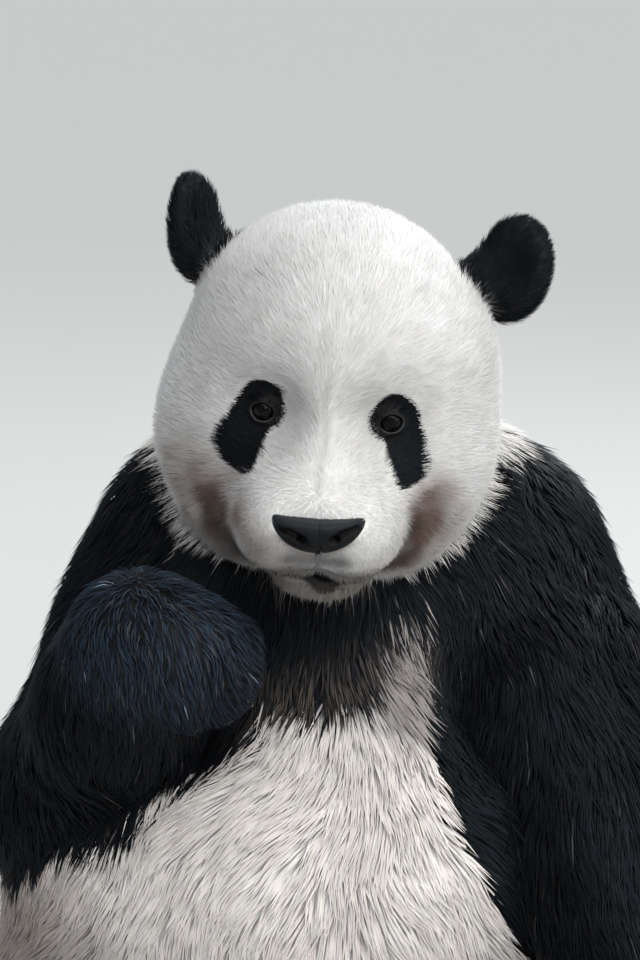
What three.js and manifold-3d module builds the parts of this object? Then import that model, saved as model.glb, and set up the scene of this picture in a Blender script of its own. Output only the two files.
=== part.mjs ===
// A giant panda, life size, sitting on its rump with the hind legs forward.
// The right forepaw is raised beside the chin, and the left arm hangs over the
// belly with its paw on the left shin. Millimetres, +Z up, the animal faces -Y,
// so its right side is at -X. Every surface is the outside of the coat.
//
// The body is one smooth shape, a union of ellipsoids and tapered capsules.
// Cutters part it into the named pieces, each with a thin gap to its neighbours.

import * as THREE from "three";
import { mergeVertices } from "three/addons/utils/BufferGeometryUtils.js";
import Module from "manifold-3d";

const wasm = await Module();
wasm.setup();
const { Manifold, Mesh } = wasm;

// ---------------------------------------------------------------- sizes, mm
const GAP = 0.8;                        // between neighbouring pieces
const ORIGIN = [-1, -99, 0];            // on the floor, under the middle of the whole body

const HEAD_AT = [0, -60, 770];          // middle of the head
const HEAD_TURN = [4, 4.5, -2.5];       // degrees: nose down, tilt, yaw
const SKULL_R = 130;                    // half the width of the crown
const CHEEK_X = 65, CHEEK_R = 88;       // cheek muscles, beside the middle line
const FACE_X = 1.5;                     // the middle line of the face, a little to the left
const MUZZLE_X = 35;                    // lip pads, beside the middle line
const EYE_X = 52, EYE_Z = 20, EYE_R = 13, EYE_Y = -93.5;
const NOSE_W = 37.5, NOSE_H = 20;         // half width and half height of the nose pad
const NOSE_TILT = [0, -5, 0];

const PELVIS = [0, 45, 190];
const BELLY = [0, -20, 330];
const CHEST = [12, 40, 520];
const NECK_LOW = [14, 115, 610], NECK_TOP = [6, 50, 715];

const SHOULDER_R = [-120, 62, 600], UPPER_R = [-157, 22, 522], ELBOW_R = [-230, -52, 402];
const FOREARM_R = [-180, -150, 525], WRIST_R = [-158, -200, 594], PALM_R = [-126, -228, 603];
const SHOULDER_L = [162, 55, 597], UPPER_L = [194, -65, 500], ELBOW_L = [238, -165, 400];
const WRIST_L = [262, -272, 303], PALM_L = [270, -322, 258];

const HIP = [140, 25, 165], KNEE = [275, -205, 150], ANKLE = [318, -395, 84];
const SOLE = [330, -444, 120];

const RAD = Math.PI / 180;

// ---------------------------------------------------------------- vectors
const add = (a, b, s = 1) => [a[0] + b[0] * s, a[1] + b[1] * s, a[2] + b[2] * s];
const sub = (a, b) => add(a, b, -1);
const dot = (a, b) => a[0] * b[0] + a[1] * b[1] + a[2] * b[2];
const unit = (a) => { const l = Math.hypot(...a); return [a[0] / l, a[1] / l, a[2] / l]; };
const cross = (a, b) => [a[1] * b[2] - a[2] * b[1], a[2] * b[0] - a[0] * b[2], a[0] * b[1] - a[1] * b[0]];
const mix = (a, b, t) => add(a, sub(b, a), t);
const flipX = (p) => [-p[0], p[1], p[2]];
const side = (p, s) => [s * p[0], p[1], p[2]];

// rotation matrix, rows, from degrees about X, then Y, with Z first
function turned([rx, ry, rz]) {
  const e = new THREE.Matrix4().makeRotationY(ry * RAD)
    .multiply(new THREE.Matrix4().makeRotationX(rx * RAD))
    .multiply(new THREE.Matrix4().makeRotationZ(rz * RAD)).elements;
  return [[e[0], e[4], e[8]], [e[1], e[5], e[9]], [e[2], e[6], e[10]]];
}
const turn = (M, v) => [dot(M[0], v), dot(M[1], v), dot(M[2], v)];
const HEAD_M = turned(HEAD_TURN);
const headPoint = (p) => add(HEAD_AT, turn(HEAD_M, p));
function toHead(p) {
  const q = sub(p, HEAD_AT);
  return [0, 1, 2].map((j) => HEAD_M[0][j] * q[0] + HEAD_M[1][j] * q[1] + HEAD_M[2][j] * q[2]);
}

// ---------------------------------------------------------------- solids as distances
// each is a function of a point, negative inside
function ball(at, r, tilt) {
  const M = tilt ? turned(tilt) : null;
  return (p) => {
    let q = sub(p, at);
    if (M) q = [0, 1, 2].map((j) => M[0][j] * q[0] + M[1][j] * q[1] + M[2][j] * q[2]);
    const k0 = Math.hypot(q[0] / r[0], q[1] / r[1], q[2] / r[2]);
    const k1 = Math.hypot(q[0] / r[0] ** 2, q[1] / r[1] ** 2, q[2] / r[2] ** 2);
    return k0 * (k0 - 1) / Math.max(k1, 1e-9);
  };
}
function bone(a, b, ra, rb) {
  const ab = sub(b, a), l2 = dot(ab, ab);
  return (p) => {
    const t = Math.min(Math.max(dot(sub(p, a), ab) / l2, 0), 1);
    return Math.hypot(...sub(p, add(a, ab, t))) - (ra + (rb - ra) * t);
  };
}
const soft = (a, b, k) => { const h = Math.max(k - Math.abs(a - b), 0) / k; return Math.min(a, b) - h * h * k / 4; };
const softCut = (a, b, k) => -soft(-a, b, k);
const merged = (list, k) => (p) => { let d = list[0](p); for (let i = 1; i < list.length; i++) d = soft(d, list[i](p), k); return d; };
const smooth = (t) => { t = Math.min(Math.max(t, 0), 1); return t * t * (3 - 2 * t); };

// ---------------------------------------------------------------- trunk
const trunkShape = merged([
  ball(PELVIS, [288, 235, 205]),
  ball(BELLY, [308, 245, 215], [-12, 0, 0]),
  ball(CHEST, [205, 175, 200], [-15, 0, 0]),
  ball([8, 115, 470], [195, 150, 270], [-12, 0, 0]),          // back
  bone(NECK_LOW, NECK_TOP, 140, 122),
], 60);
const tailShape = ball([0, 262, 92], [44, 34, 68], [-14, 0, 0]);

// ---------------------------------------------------------------- head, in its own frame
const skull = merged([
  ball([0, 14, 46], [SKULL_R, 128, 128]),                     // braincase
  ball([-2, -36, 56], [98, 78, 84]),                          // forehead
  ball([-CHEEK_X, -8, -25], [CHEEK_R, 92, 100]),
  ball([CHEEK_X, -8, -25], [CHEEK_R, 92, 100]),
  ball([83, 0, 46], [56, 78, 62]),                            // the fuller temple
  ball([-50, -30, -84], [62, 70, 60]),                        // jowls
  ball([54, -30, -82], [62, 70, 60]),
  bone([FACE_X - 2, -74, 6], [FACE_X + 1, -146, -58], 40, 34), // bridge of the nose
  ball([FACE_X - MUZZLE_X, -108, -62], [41, 76, 48]),         // lip pads
  ball([FACE_X + MUZZLE_X, -108, -62], [41, 76, 48]),
], 34);
const chin = ball([FACE_X + 4, -104, -108], [48, 62, 32], [-8, 0, 0]);
const sockets = [-1, 1].map((s) => ball([s * 54 + FACE_X, -124, 18], [26, 26, 20]));
function headShape(q) {
  let d = soft(skull(q), chin(q), 8);
  for (const s of sockets) d = softCut(d, s(q), 30);
  return d;
}
const EARS = {
  right: { at: [-129, 39, 138], tilt: [-5.6, -9.6, 52], r: [31, 20, 47.5], cup: [23, 18, 34], root: [-116, 34, 117.6], rootTilt: [0, -5, 0], rootR: [34, 19, 37] },
  left: { at: [148.5, 39, 121.5], tilt: [-8, 9, -26], r: [38.5, 20, 51], cup: [28, 18, 36], root: [109, 34, 103], rootTilt: [0, 15, 0], rootR: [20, 19, 33] },
};
const earShape = {};
for (const [name, e] of Object.entries(EARS)) {
  const shell = merged([ball(e.at, e.r, e.tilt), ball(e.root, e.rootR, e.rootTilt)], 14);
  const cup = ball(add(e.at, turn(turned(e.tilt), [0, -30, 4])), e.cup, e.tilt);
  earShape[name] = (q) => softCut(shell(q), cup(q), 10);
}
const noseLump = merged([
  ball([FACE_X + 1, -172, -46], [NOSE_W, 23, NOSE_H + 1], NOSE_TILT),
  ball([FACE_X + 3, -170, -54], [NOSE_W - 5, 25, NOSE_H - 1], NOSE_TILT),
  ball([FACE_X - 18.5, -166, -46.5], [NOSE_W / 2, 23, NOSE_H - 1], NOSE_TILT),
  ball([FACE_X + 20.5, -166, -43.5], [NOSE_W / 2, 23, NOSE_H - 1], NOSE_TILT),
], 8);
// the pad is cut off above along a line that dips in the middle
const NOSE_M = turned(NOSE_TILT);
const noseAxes = (q) => { const d = sub(q, [FACE_X + 2.5, 0, -52]); return [0, 1, 2].map((j) => NOSE_M[0][j] * d[0] + NOSE_M[1][j] * d[1] + NOSE_M[2][j] * d[2]); };
const noseShape = (q) => {
  const l = noseAxes(q);
  return softCut(noseLump(q), 8.9 + 0.0012 * l[0] * l[0] - 0.045 * l[0] - l[2], 4.5);
};

// ---------------------------------------------------------------- limbs
// a row of five toes: palm middle, way they point, way across, back of the paw
function toeRow(palm, way, across, back, { width, reach, drop, r }) {
  const toes = [];
  for (let i = -2; i <= 2; i++) {
    const arch = 1 - 0.09 * i * i;
    const root = add(add(palm, across, i * width * 0.82), way, reach * 0.3);
    const tip = add(add(add(palm, across, i * width), way, reach * arch), back, -drop);
    toes.push({ root, tip, r: r * (0.9 + 0.1 * arch) });
  }
  return toes;
}
const frameOf = (way, back) => {
  way = unit(way);
  const across = unit(cross(back, way));
  return { way, across, back: cross(way, across) };
};
const PAW_R = frameOf([0.78, -0.28, -0.5], [-0.1, -0.85, 0.5]);
const PAW_L = frameOf([0.1, -0.78, -0.62], [0.1, -0.62, 0.78]);
const TOES_R = toeRow(PALM_R, PAW_R.way, PAW_R.across, PAW_R.back, { width: 20, reach: 60, drop: 16, r: 19 });
const TOES_L = toeRow(PALM_L, PAW_L.way, PAW_L.across, PAW_L.back, { width: 22, reach: 66, drop: 14, r: 19 });
const FOOT = {};
for (const [name, s] of [["right", -1], ["left", 1]]) {
  const f = frameOf([s * 0.05, -0.16, 0.98], [s * -0.1, 0.98, 0.16]);
  FOOT[name] = { s, ...f, toes: toeRow(side(add(SOLE, [0, -2, 30]), s), f.way, f.across, f.back, { width: 24, reach: 76, drop: 12, r: 20 }) };
}
const toeBones = (toes) => toes.map((t) => bone(t.root, t.tip, t.r * 1.15, t.r));

const armShape = {
  right: merged([
    bone(SHOULDER_R, UPPER_R, 98, 95), bone(UPPER_R, ELBOW_R, 95, 84),
    bone(ELBOW_R, FOREARM_R, 84, 74), bone(FOREARM_R, WRIST_R, 74, 65),
  ], 30),
  left: merged([
    bone(SHOULDER_L, UPPER_L, 98, 106), bone(UPPER_L, ELBOW_L, 106, 92),
    bone(ELBOW_L, WRIST_L, 92, 72),
  ], 30),
};
const pawShape = {
  right: merged([bone(WRIST_R, PALM_R, 62, 54), ...toeBones(TOES_R)], 16),
  left: merged([bone(WRIST_L, PALM_L, 66, 50), ...toeBones(TOES_L)], 16),
};
const foreShape = {};
for (const n of ["right", "left"]) foreShape[n] = (p) => soft(armShape[n](p), pawShape[n](p), 24);
const hindShape = {};
for (const n of ["right", "left"]) {
  const s = FOOT[n].s;
  const leg = merged([bone(side(HIP, s), side(KNEE, s), 150, 104), bone(side(KNEE, s), side(ANKLE, s), 102, 64)], 40);
  const foot = merged([
    ball(side([318, -412, 56], s), [56, 62, 62]),             // heel
    ball(side(SOLE, s), [60, 40, 84], [-10, 0, 0]),
    ...toeBones(FOOT[n].toes),
  ], 18);
  hindShape[n] = (p) => soft(leg(p), foot(p), 24);
}

// ---------------------------------------------------------------- the whole body
const nearTo = (p, at, r0, r1) => 1 - smooth((Math.hypot(...sub(p, at)) - r0) / (r1 - r0));
const JOINS = [   // shape, where it flows into the trunk, reach, blend there and elsewhere
  [hindShape.right, [-140, 40, 180], 200, 330, 70, 14],
  [hindShape.left, [140, 40, 180], 200, 330, 70, 14],
  [tailShape, [0, 250, 120], 100, 200, 30, 20],
  [foreShape.right, [-150, 70, 600], 120, 240, 90, 12],
  [foreShape.left, [150, 75, 610], 120, 240, 90, 12],
];
const headField = (p) => headShape(toHead(p));
const earField = { right: (p) => earShape.right(toHead(p)), left: (p) => earShape.left(toHead(p)) };
function bodyField(p) {
  let w = trunkShape(p);
  for (const [f, at, r0, r1, k1, k0] of JOINS) w = soft(w, f(p), k0 + (k1 - k0) * nearTo(p, at, r0, r1));
  const q = toHead(p);
  const k = 14 + 46 * Math.min(Math.max((q[1] + 20) / 90, 0), 1);   // the nape flows, the chin keeps its edge
  w = soft(w, headShape(q), k);
  w = soft(w, Math.min(earShape.right(q), earShape.left(q)), 10);
  return w;
}

// ---------------------------------------------------------------- meshing
// grid lines from lo to hi, a cell apart, and closer together between a and b
function lines(lo, hi, cell, a = hi, b = hi, fine = cell) {
  const out = [lo - cell];
  for (let x = lo; ;) {
    out.push(x);
    if (x > hi) break;
    x += x >= a && x < b ? fine : cell;
  }
  return out;
}
// a closed mesh of field < 0 inside a box, one vertex to a cell, drawn onto the surface
function meshOf(field, lo, hi, cell, fine) {
  const g = [0, 1, 2].map((i) => (fine ? lines(lo[i], hi[i], cell, fine.lo[i], fine.hi[i], fine.cell) : lines(lo[i], hi[i], cell)));
  const n = g.map((l) => l.length);
  const box = (p) => Math.max(...[0, 1, 2].map((i) => Math.max(lo[i] - p[i], p[i] - hi[i])));
  const at = (i, j, k) => (i * n[1] + j) * n[2] + k;
  const v = new Float64Array(n[0] * n[1] * n[2]);
  for (let i = 0; i < n[0]; i++) for (let j = 0; j < n[1]; j++) for (let k = 0; k < n[2]; k++) {
    const p = [g[0][i], g[1][j], g[2][k]];
    const d = Math.max(field(p), box(p));
    const edge = i === 0 || j === 0 || k === 0 || i === n[0] - 1 || j === n[1] - 1 || k === n[2] - 1;
    v[at(i, j, k)] = edge ? Math.max(d, cell * 0.3) : (d === 0 ? 1e-6 : d);
  }
  const pos = [], cellId = new Map();
  const vertex = (i, j, k) => {
    const id = at(i, j, k);
    if (cellId.has(id)) return cellId.get(id);
    let c = [0, 0, 0], m = 0;
    for (const [a, b] of EDGES) {
      const va = v[at(i + a[0], j + a[1], k + a[2])], vb = v[at(i + b[0], j + b[1], k + b[2])];
      if ((va < 0) === (vb < 0)) continue;
      const A = [g[0][i + a[0]], g[1][j + a[1]], g[2][k + a[2]]], B = [g[0][i + b[0]], g[1][j + b[1]], g[2][k + b[2]]];
      c = add(c, mix(A, B, va / (va - vb)));
      m++;
    }
    cellId.set(id, pos.length);
    pos.push(settle(c.map((x) => x / m), field, box, g[0][i + 1] - g[0][i]));
    return pos.length - 1;
  };
  const tris = [];
  for (let i = 0; i < n[0] - 1; i++) for (let j = 0; j < n[1] - 1; j++) for (let k = 0; k < n[2] - 1; k++) {
    const here = v[at(i, j, k)] < 0;
    for (let ax = 0; ax < 3; ax++) {
      const d = [0, 0, 0]; d[ax] = 1;
      if (here === (v[at(i + d[0], j + d[1], k + d[2])] < 0)) continue;
      const u = [0, 0, 0], w = [0, 0, 0];
      u[(ax + 1) % 3] = 1; w[(ax + 2) % 3] = 1;
      const q = [[0, 0], [-1, 0], [-1, -1], [0, -1]].map(([s, t]) =>
        vertex(i + s * u[0] + t * w[0], j + s * u[1] + t * w[1], k + s * u[2] + t * w[2]));
      if (!here) q.reverse();
      const d02 = Math.hypot(...sub(pos[q[0]], pos[q[2]])), d13 = Math.hypot(...sub(pos[q[1]], pos[q[3]]));
      if (d02 <= d13) tris.push([q[0], q[1], q[2]], [q[0], q[2], q[3]]);
      else tris.push([q[0], q[1], q[3]], [q[1], q[2], q[3]]);
    }
  }
  return { pos, tris };
}
const EDGES = [];
for (let a = 0; a < 8; a++) for (let b = a + 1; b < 8; b++) {
  const A = [a & 1, (a >> 1) & 1, a >> 2], B = [b & 1, (b >> 1) & 1, b >> 2];
  if (Math.abs(A[0] - B[0]) + Math.abs(A[1] - B[1]) + Math.abs(A[2] - B[2]) === 1) EDGES.push([A, B]);
}
function slope(field, p, h = 0.5) {
  return [0, 1, 2].map((i) => {
    const a = [...p], b = [...p]; a[i] += h; b[i] -= h;
    return (field(a) - field(b)) / (2 * h);
  });
}
function settle(p, field, box, cell) {
  let q = p;
  for (let n = 0; n < 3; n++) {
    const d = field(q);
    if (box(q) > d - cell * 0.2) return p;
    const g = slope(field, q), g2 = dot(g, g);
    if (g2 < 1e-4) return p;
    q = add(q, g, -d / g2);
    if (Math.hypot(...sub(q, p)) > cell * 0.6) return p;
  }
  return q;
}
function solidOf({ pos, tris }) {
  return new Manifold(new Mesh({
    numProp: 3, vertProperties: new Float32Array(pos.flat()), triVerts: new Uint32Array(tris.flat())
  }));
}
// the same mesh, moved out along its normals
function swollen({ pos, tris }, by) {
  const normal = pos.map(() => [0, 0, 0]);
  for (const [a, b, c] of tris) {
    const n = cross(sub(pos[b], pos[a]), sub(pos[c], pos[a]));
    for (const i of [a, b, c]) normal[i] = add(normal[i], n);
  }
  return { pos: pos.map((p, i) => add(p, unit(normal[i]), by)), tris };
}
function solidOfGeometry(g) {
  g = g.clone(); g.deleteAttribute("normal"); g.deleteAttribute("uv");
  g = mergeVertices(g, 1e-4);
  return new Manifold(new Mesh({
    numProp: 3, vertProperties: new Float32Array(g.attributes.position.array), triVerts: new Uint32Array(g.index.array)
  }));
}
// everything on the side of a plane that its normal points to
function half(at, normal, off = 0) {
  const n = unit(normal), S = 3000;
  const g = new THREE.BoxGeometry(S, S, S);
  g.translate(0, 0, S / 2);
  g.applyQuaternion(new THREE.Quaternion().setFromUnitVectors(new THREE.Vector3(0, 0, 1), new THREE.Vector3(...n)));
  const p = add(at, n, off);
  g.translate(...p);
  return solidOfGeometry(g);
}
const FLOOR = half([0, 0, 0], [0, 0, 1]);
const largest = (s) => s.decompose().sort((a, b) => b.volume() - a.volume())[0];
// the two halves of a solid at a plane, with the gap between them
function parted(s, at, normal) {
  return [largest(s.intersect(half(at, normal, GAP / 2))), largest(s.intersect(half(at, unit(normal).map((x) => -x), GAP / 2)))];
}
// the region nearer to one shape than to the rest, as a cutter and its swollen twin
function cutter(mine, rest, lo, hi, cell) {
  const m = meshOf((p) => (mine(p) - rest(p)) * 0.5, lo, hi, cell);
  return { cut: solidOf(m), grown: solidOf(swollen(m, GAP)) };
}
const least = (...f) => (p) => Math.min(...f.map((g) => g(p)));
const bodyIn = (lo, hi, cell, fine) => solidOf(meshOf(bodyField, lo, hi, cell, fine)).intersect(FLOOR);

// ---------------------------------------------------------------- slimming
// Fewer triangles: short and flat edges are drawn together where the surface
// moves less than `most` on the coat, and hardly at all on the faces of a cut.
function slimmed(solid, most, inner = 0.3) {
  const m = solid.getMesh();
  const pos = [], tris = [];
  for (let i = 0; i < m.numVert; i++) pos.push([0, 1, 2].map((k) => m.vertProperties[i * m.numProp + k]));
  const same = new Map();
  for (let i = 0; i < (m.mergeFromVert?.length ?? 0); i++) same.set(m.mergeFromVert[i], m.mergeToVert[i]);
  for (let i = 0; i < m.triVerts.length; i += 3) tris.push([0, 1, 2].map((k) => same.get(m.triVerts[i + k]) ?? m.triVerts[i + k]));
  const around = pos.map(() => new Set());
  tris.forEach((t, f) => t.forEach((v) => around[v].add(f)));
  const plane = (t) => {
    const n = cross(sub(pos[t[1]], pos[t[0]]), sub(pos[t[2]], pos[t[0]]));
    const l = Math.hypot(...n);
    return l < 1e-9 ? null : [n[0] / l, n[1] / l, n[2] / l, -dot(n, pos[t[0]]) / l, l / 2];
  };
  const sums = pos.map(() => new Float64Array(10));
  for (const t of tris) {
    const q = plane(t);
    if (!q || q[4] < 0.05) continue;
    const mid = add(mix(pos[t[0]], pos[t[1]], 0.5), sub(pos[t[2]], mix(pos[t[0]], pos[t[1]], 0.5)), 1 / 3);
    const coat = mid[2] > 0.5 && Math.abs(bodyField(mid)) < 3 && dot(unit(slope(bodyField, mid)), q) > 0.7;
    const w = coat ? 1 : (most / inner) ** 2;
    let e = 0;
    for (let i = 0; i < 4; i++) for (let j = i; j < 4; j++, e++) for (const v of t) sums[v][e] += w * q[i] * q[j];
  }
  const off = (Q, p) => {
    const x = [...p, 1];
    let e = 0, s = 0;
    for (let i = 0; i < 4; i++) for (let j = i; j < 4; j++, e++) s += Q[e] * x[i] * x[j] * (i === j ? 1 : 2);
    return Math.max(s, 0);
  };
  const neighbours = (v) => { const o = new Set(); for (const f of around[v]) for (const w of tris[f]) if (w !== v) o.add(w); return o; };
  const stays = (v, other, p) => {                              // no face of v turns over
    for (const f of around[v]) {
      const t = tris[f];
      if (t.includes(other)) continue;
      const q = t.map((w) => (w === v ? p : pos[w]));
      const n = cross(sub(q[1], q[0]), sub(q[2], q[0])), l = Math.hypot(...n);
      const longest = Math.max(Math.hypot(...sub(q[1], q[0])), Math.hypot(...sub(q[2], q[0])), Math.hypot(...sub(q[2], q[1])));
      if (l < longest * longest * 0.04) return false;
      const was = plane(t);
      if (was && was[4] > 0.5 && dot(n, was) < 0.35 * l) return false;
    }
    return true;
  };
  for (let pass = 0; pass < 40; pass++) {
    const edges = [];
    for (let f = 0; f < tris.length; f++) {
      const t = tris[f];
      if (!t) continue;
      for (let k = 0; k < 3; k++) {
        const a = t[k], b = t[(k + 1) % 3];
        if (a > b) continue;
        const Q = sums[a].map((x, i) => x + sums[b][i]);
        const tries = [pos[a], pos[b], mix(pos[a], pos[b], 0.5)].map((p) => [off(Q, p), p]).sort((x, y) => x[0] - y[0]);
        const len = Math.hypot(...sub(pos[a], pos[b]));
        if (tries[0][0] < most * most) edges.push([tries[0][0] + 1e-5 * len * len, a, b, tries[0][1], Q]);
      }
    }
    edges.sort((x, y) => x[0] - y[0]);
    const used = new Set();
    let n = 0;
    for (const [, a, b, p, Q] of edges) {
      if (used.has(a) || used.has(b)) continue;
      const na = neighbours(a), nb = neighbours(b);
      let shared = 0;
      for (const v of na) if (nb.has(v)) shared++;
      if (shared !== 2 || na.size + nb.size < 8 || !stays(a, b, p) || !stays(b, a, p)) continue;
      pos[a] = p; sums[a] = Q;
      for (const f of [...around[b]]) {
        const t = tris[f];
        if (t.includes(a)) { for (const v of t) around[v].delete(f); tris[f] = null; } else { tris[f] = t.map((v) => (v === b ? a : v)); around[a].add(f); }
      }
      around[b].clear();
      for (const v of na) used.add(v);
      for (const v of nb) used.add(v);
      used.add(a); used.add(b);
      n++;
    }
    if (!n) break;
  }
  const id = new Map(), out = { pos: [], tris: [] };
  for (const t of tris) {
    if (!t) continue;
    out.tris.push(t.map((v) => { if (!id.has(v)) { id.set(v, out.pos.length); out.pos.push(pos[v]); } return id.get(v); }));
  }
  // two corners at one point draw apart, each towards its own neighbours
  const seen = new Map();
  for (const [v, i] of id) {
    const key = pos[v].map((x) => x.toFixed(2)).join();
    if (seen.has(key)) for (const w of [v, seen.get(key)]) {
      const near = [...neighbours(w)];
      const c = near.reduce((a, u) => add(a, pos[u], 1 / near.length), [0, 0, 0]);
      out.pos[id.get(w)] = mix(pos[w], c, 0.2);
    } else seen.set(key, v);
  }
  return out;
}

// ---------------------------------------------------------------- cutters
const cutEar = {
  right: cutter(earField.right, headField, [-215, -90, 830], [-40, 60, 1010], 24),
  left: cutter(earField.left, headField, [60, -90, 800], [230, 60, 1000], 24),
};
const rest = least(trunkShape, hindShape.right, hindShape.left);
const cutHead = cutter(headField, least(trunkShape, foreShape.right, foreShape.left), [-260, -330, 560], [260, 180, 1040], 44);
const cutArm = {
  right: cutter(foreShape.right, least(rest, headField), [-380, -360, 260], [60, 220, 760], 50),
  left: cutter(foreShape.left, least(rest, headField), [20, -480, 130], [400, 220, 760], 50),
};
const cutLeg = {
  right: cutter(hindShape.right, least(trunkShape, foreShape.right), [-480, -580, -80], [40, 260, 360], 56),
  left: cutter(hindShape.left, least(trunkShape, foreShape.left), [-40, -580, -80], [480, 260, 360], 56),
};
const cutTail = cutter(tailShape, trunkShape, [-90, 180, -20], [90, 340, 200], 30);
const cutJaw = cutter((p) => chin(toHead(p)), (p) => skull(toHead(p)), [-90, -270, 580], [90, -40, 720], 20);

// ---------------------------------------------------------------- pieces
const pieces = {};
const minus = (s, ...cs) => cs.reduce((a, c) => a.subtract(c), s);

// head
const headLump = bodyIn([-250, -330, 590], [250, 180, 1040], 38, { lo: [-85, -300, 620], hi: [85, -130, 800], cell: 23 }).intersect(cutHead.cut);
const noseMesh = meshOf((p) => noseShape(toHead(p)), [-60, -270, 680], [60, -190, 760], 9);
const noseSolid = solidOf(noseMesh);
const noseBack = half(headPoint([0, -166, -50]), turn(HEAD_M, [0, -0.97, 0.24]));
const nose = largest(noseSolid.intersect(noseBack));
const noseRoom = solidOf(swollen(noseMesh, GAP)).intersect(half(headPoint([0, -166, -50]), turn(HEAD_M, [0, -0.97, 0.24]), -GAP));
let face = minus(headLump, cutEar.right.grown, cutEar.left.grown, noseRoom);
for (const [name, s] of [["right", -1], ["left", 1]]) {
  const at = headPoint([s * EYE_X + FACE_X, EYE_Y, EYE_Z]);
  const ballAt = (r) => { const g = new THREE.SphereGeometry(r, 12, 8); g.translate(...at); return solidOfGeometry(g); };
  pieces[`eye_${name}`] = ballAt(EYE_R);
  face = face.subtract(ballAt(EYE_R + GAP + 0.2));
}
pieces.nose = nose;
pieces.lower_jaw = largest(face.intersect(cutJaw.cut));
pieces.head = largest(face.subtract(cutJaw.grown));
for (const n of ["right", "left"]) {
  const box = n === "right" ? [[-215, -90, 830], [-40, 60, 1010]] : [[60, -90, 800], [230, 60, 1000]];
  pieces[`ear_${n}`] = largest(bodyIn(...box, 16).intersect(cutEar[n].cut));
}

// claws, curved cones that grow from the toes
function claw(toe, way, back, length, r) {
  const g = new THREE.ConeGeometry(r, length, 5, 2);
  g.translate(0, length / 2, 0);
  const p = g.attributes.position;
  for (let i = 0; i < p.count; i++) {
    const t = p.getY(i) / length;
    p.setZ(i, p.getZ(i) - 0.28 * length * t * t);
  }
  const w = unit(way), b = unit(sub(back, w.map((x) => x * dot(back, w)))), a = cross(w, b);
  const m = new THREE.Matrix4().makeBasis(new THREE.Vector3(...a), new THREE.Vector3(...w), new THREE.Vector3(...b));
  g.applyMatrix4(m);
  g.translate(...add(toe.tip, w, toe.r * 0.45));
  return solidOfGeometry(g);
}
const withClaws = (s, toes, way, back, bend = 0.35, long = 30) => largest(toes.reduce((a, t) => a.add(claw(t, add(way, back, -bend), back, long, 6)), s));

// arms, with the paws in a finer mesh
const ARM_BOX = { right: [[-360, -340, 280], [40, 200, 740]], left: [[40, -470, 150], [380, 200, 740]] };
const PAW_BOX = { right: [[-240, -340, 480], [20, -120, 700]], left: [[170, -430, 140], [370, -200, 370]] };
const WRIST = { right: [add(WRIST_R, [4, -4, 2]), [0.62, -0.5, 0.35]], left: [add(WRIST_L, [0, -8, -8]), [0.1, -0.78, -0.6]] };
const ELBOW = { right: [ELBOW_R, [-0.16, -0.98, -0.03]], left: [mix(UPPER_L, ELBOW_L, 0.7), [0.2, -0.72, -0.62]] };
const PAW = { right: [TOES_R, PAW_R], left: [TOES_L, PAW_L] };
for (const n of ["right", "left"]) {
  const limb = (box, cell) => minus(bodyIn(...box, cell).intersect(cutArm[n].cut), cutHead.grown);
  const arm = limb(ARM_BOX[n], 42);
  const [fore, upper] = parted(arm, ...ELBOW[n]);
  pieces[`upper_arm_${n}`] = upper;
  pieces[`forearm_${n}`] = parted(fore, ...WRIST[n])[1];
  pieces[`forepaw_${n}`] = withClaws(parted(limb(PAW_BOX[n], 24), ...WRIST[n])[0], PAW[n][0], PAW[n][1].way, PAW[n][1].back, ...(n === "right" ? [0.9, 22] : []));   // the raised paw is curled
}

// hind legs, with the feet in a finer mesh
for (const n of ["right", "left"]) {
  const s = FOOT[n].s;
  const boxOf = (x0, x1, y0, y1) => (s < 0 ? [[-x1, y0, -60], [-x0, y1, 340]] : [[x0, y0, -60], [x1, y1, 340]]);
  const limb = (box, cell) => minus(bodyIn(...box, cell).intersect(cutLeg[n].cut), cutArm[n].grown);
  const leg = limb(boxOf(-20, 470, -570, 250), 46);
  const [low, thigh] = parted(leg, side(KNEE, s), [s * 0.4, -0.9, -0.17]);
  pieces[`thigh_${n}`] = thigh;
  const ankle = [side(add(ANKLE, [0, 6, 0]), s), [s * 0.12, -0.88, 0.42]];
  pieces[`shank_${n}`] = parted(low, ...ankle)[1];
  pieces[`hind_foot_${n}`] = withClaws(parted(limb(boxOf(200, 460, -570, -300), 26), ...ankle)[0], FOOT[n].toes, FOOT[n].way, FOOT[n].back);
}

// tail, trunk and neck
pieces.tail = largest(bodyIn([-90, 180, 0], [90, 340, 200], 24).intersect(cutTail.cut));
const middle = largest(minus(bodyIn([-340, -330, -60], [340, 330, 840], 60),
  cutHead.grown, cutArm.right.grown, cutArm.left.grown, cutLeg.right.grown, cutLeg.left.grown, cutTail.grown));
[pieces.neck, pieces.trunk] = parted(middle, [10, 80, 640], [0, -0.15, 0.99]);

// ---------------------------------------------------------------- the model
const LOOKS = {
  white_coat: { color: 0xe4ded4, roughness: 0.95 },
  black_coat: { color: 0x17171a, roughness: 0.85 },
  nose_leather: { color: 0x141416, roughness: 0.45 },
  eye: { color: 0x120c08, roughness: 0.08 },
};
const BLACK = /ear|arm|paw|thigh|shank|foot/;
const lookOf = (n) => (n.startsWith("eye") ? "eye" : n === "nose" ? "nose_leather" : BLACK.test(n) ? "black_coat" : "white_coat");

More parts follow.
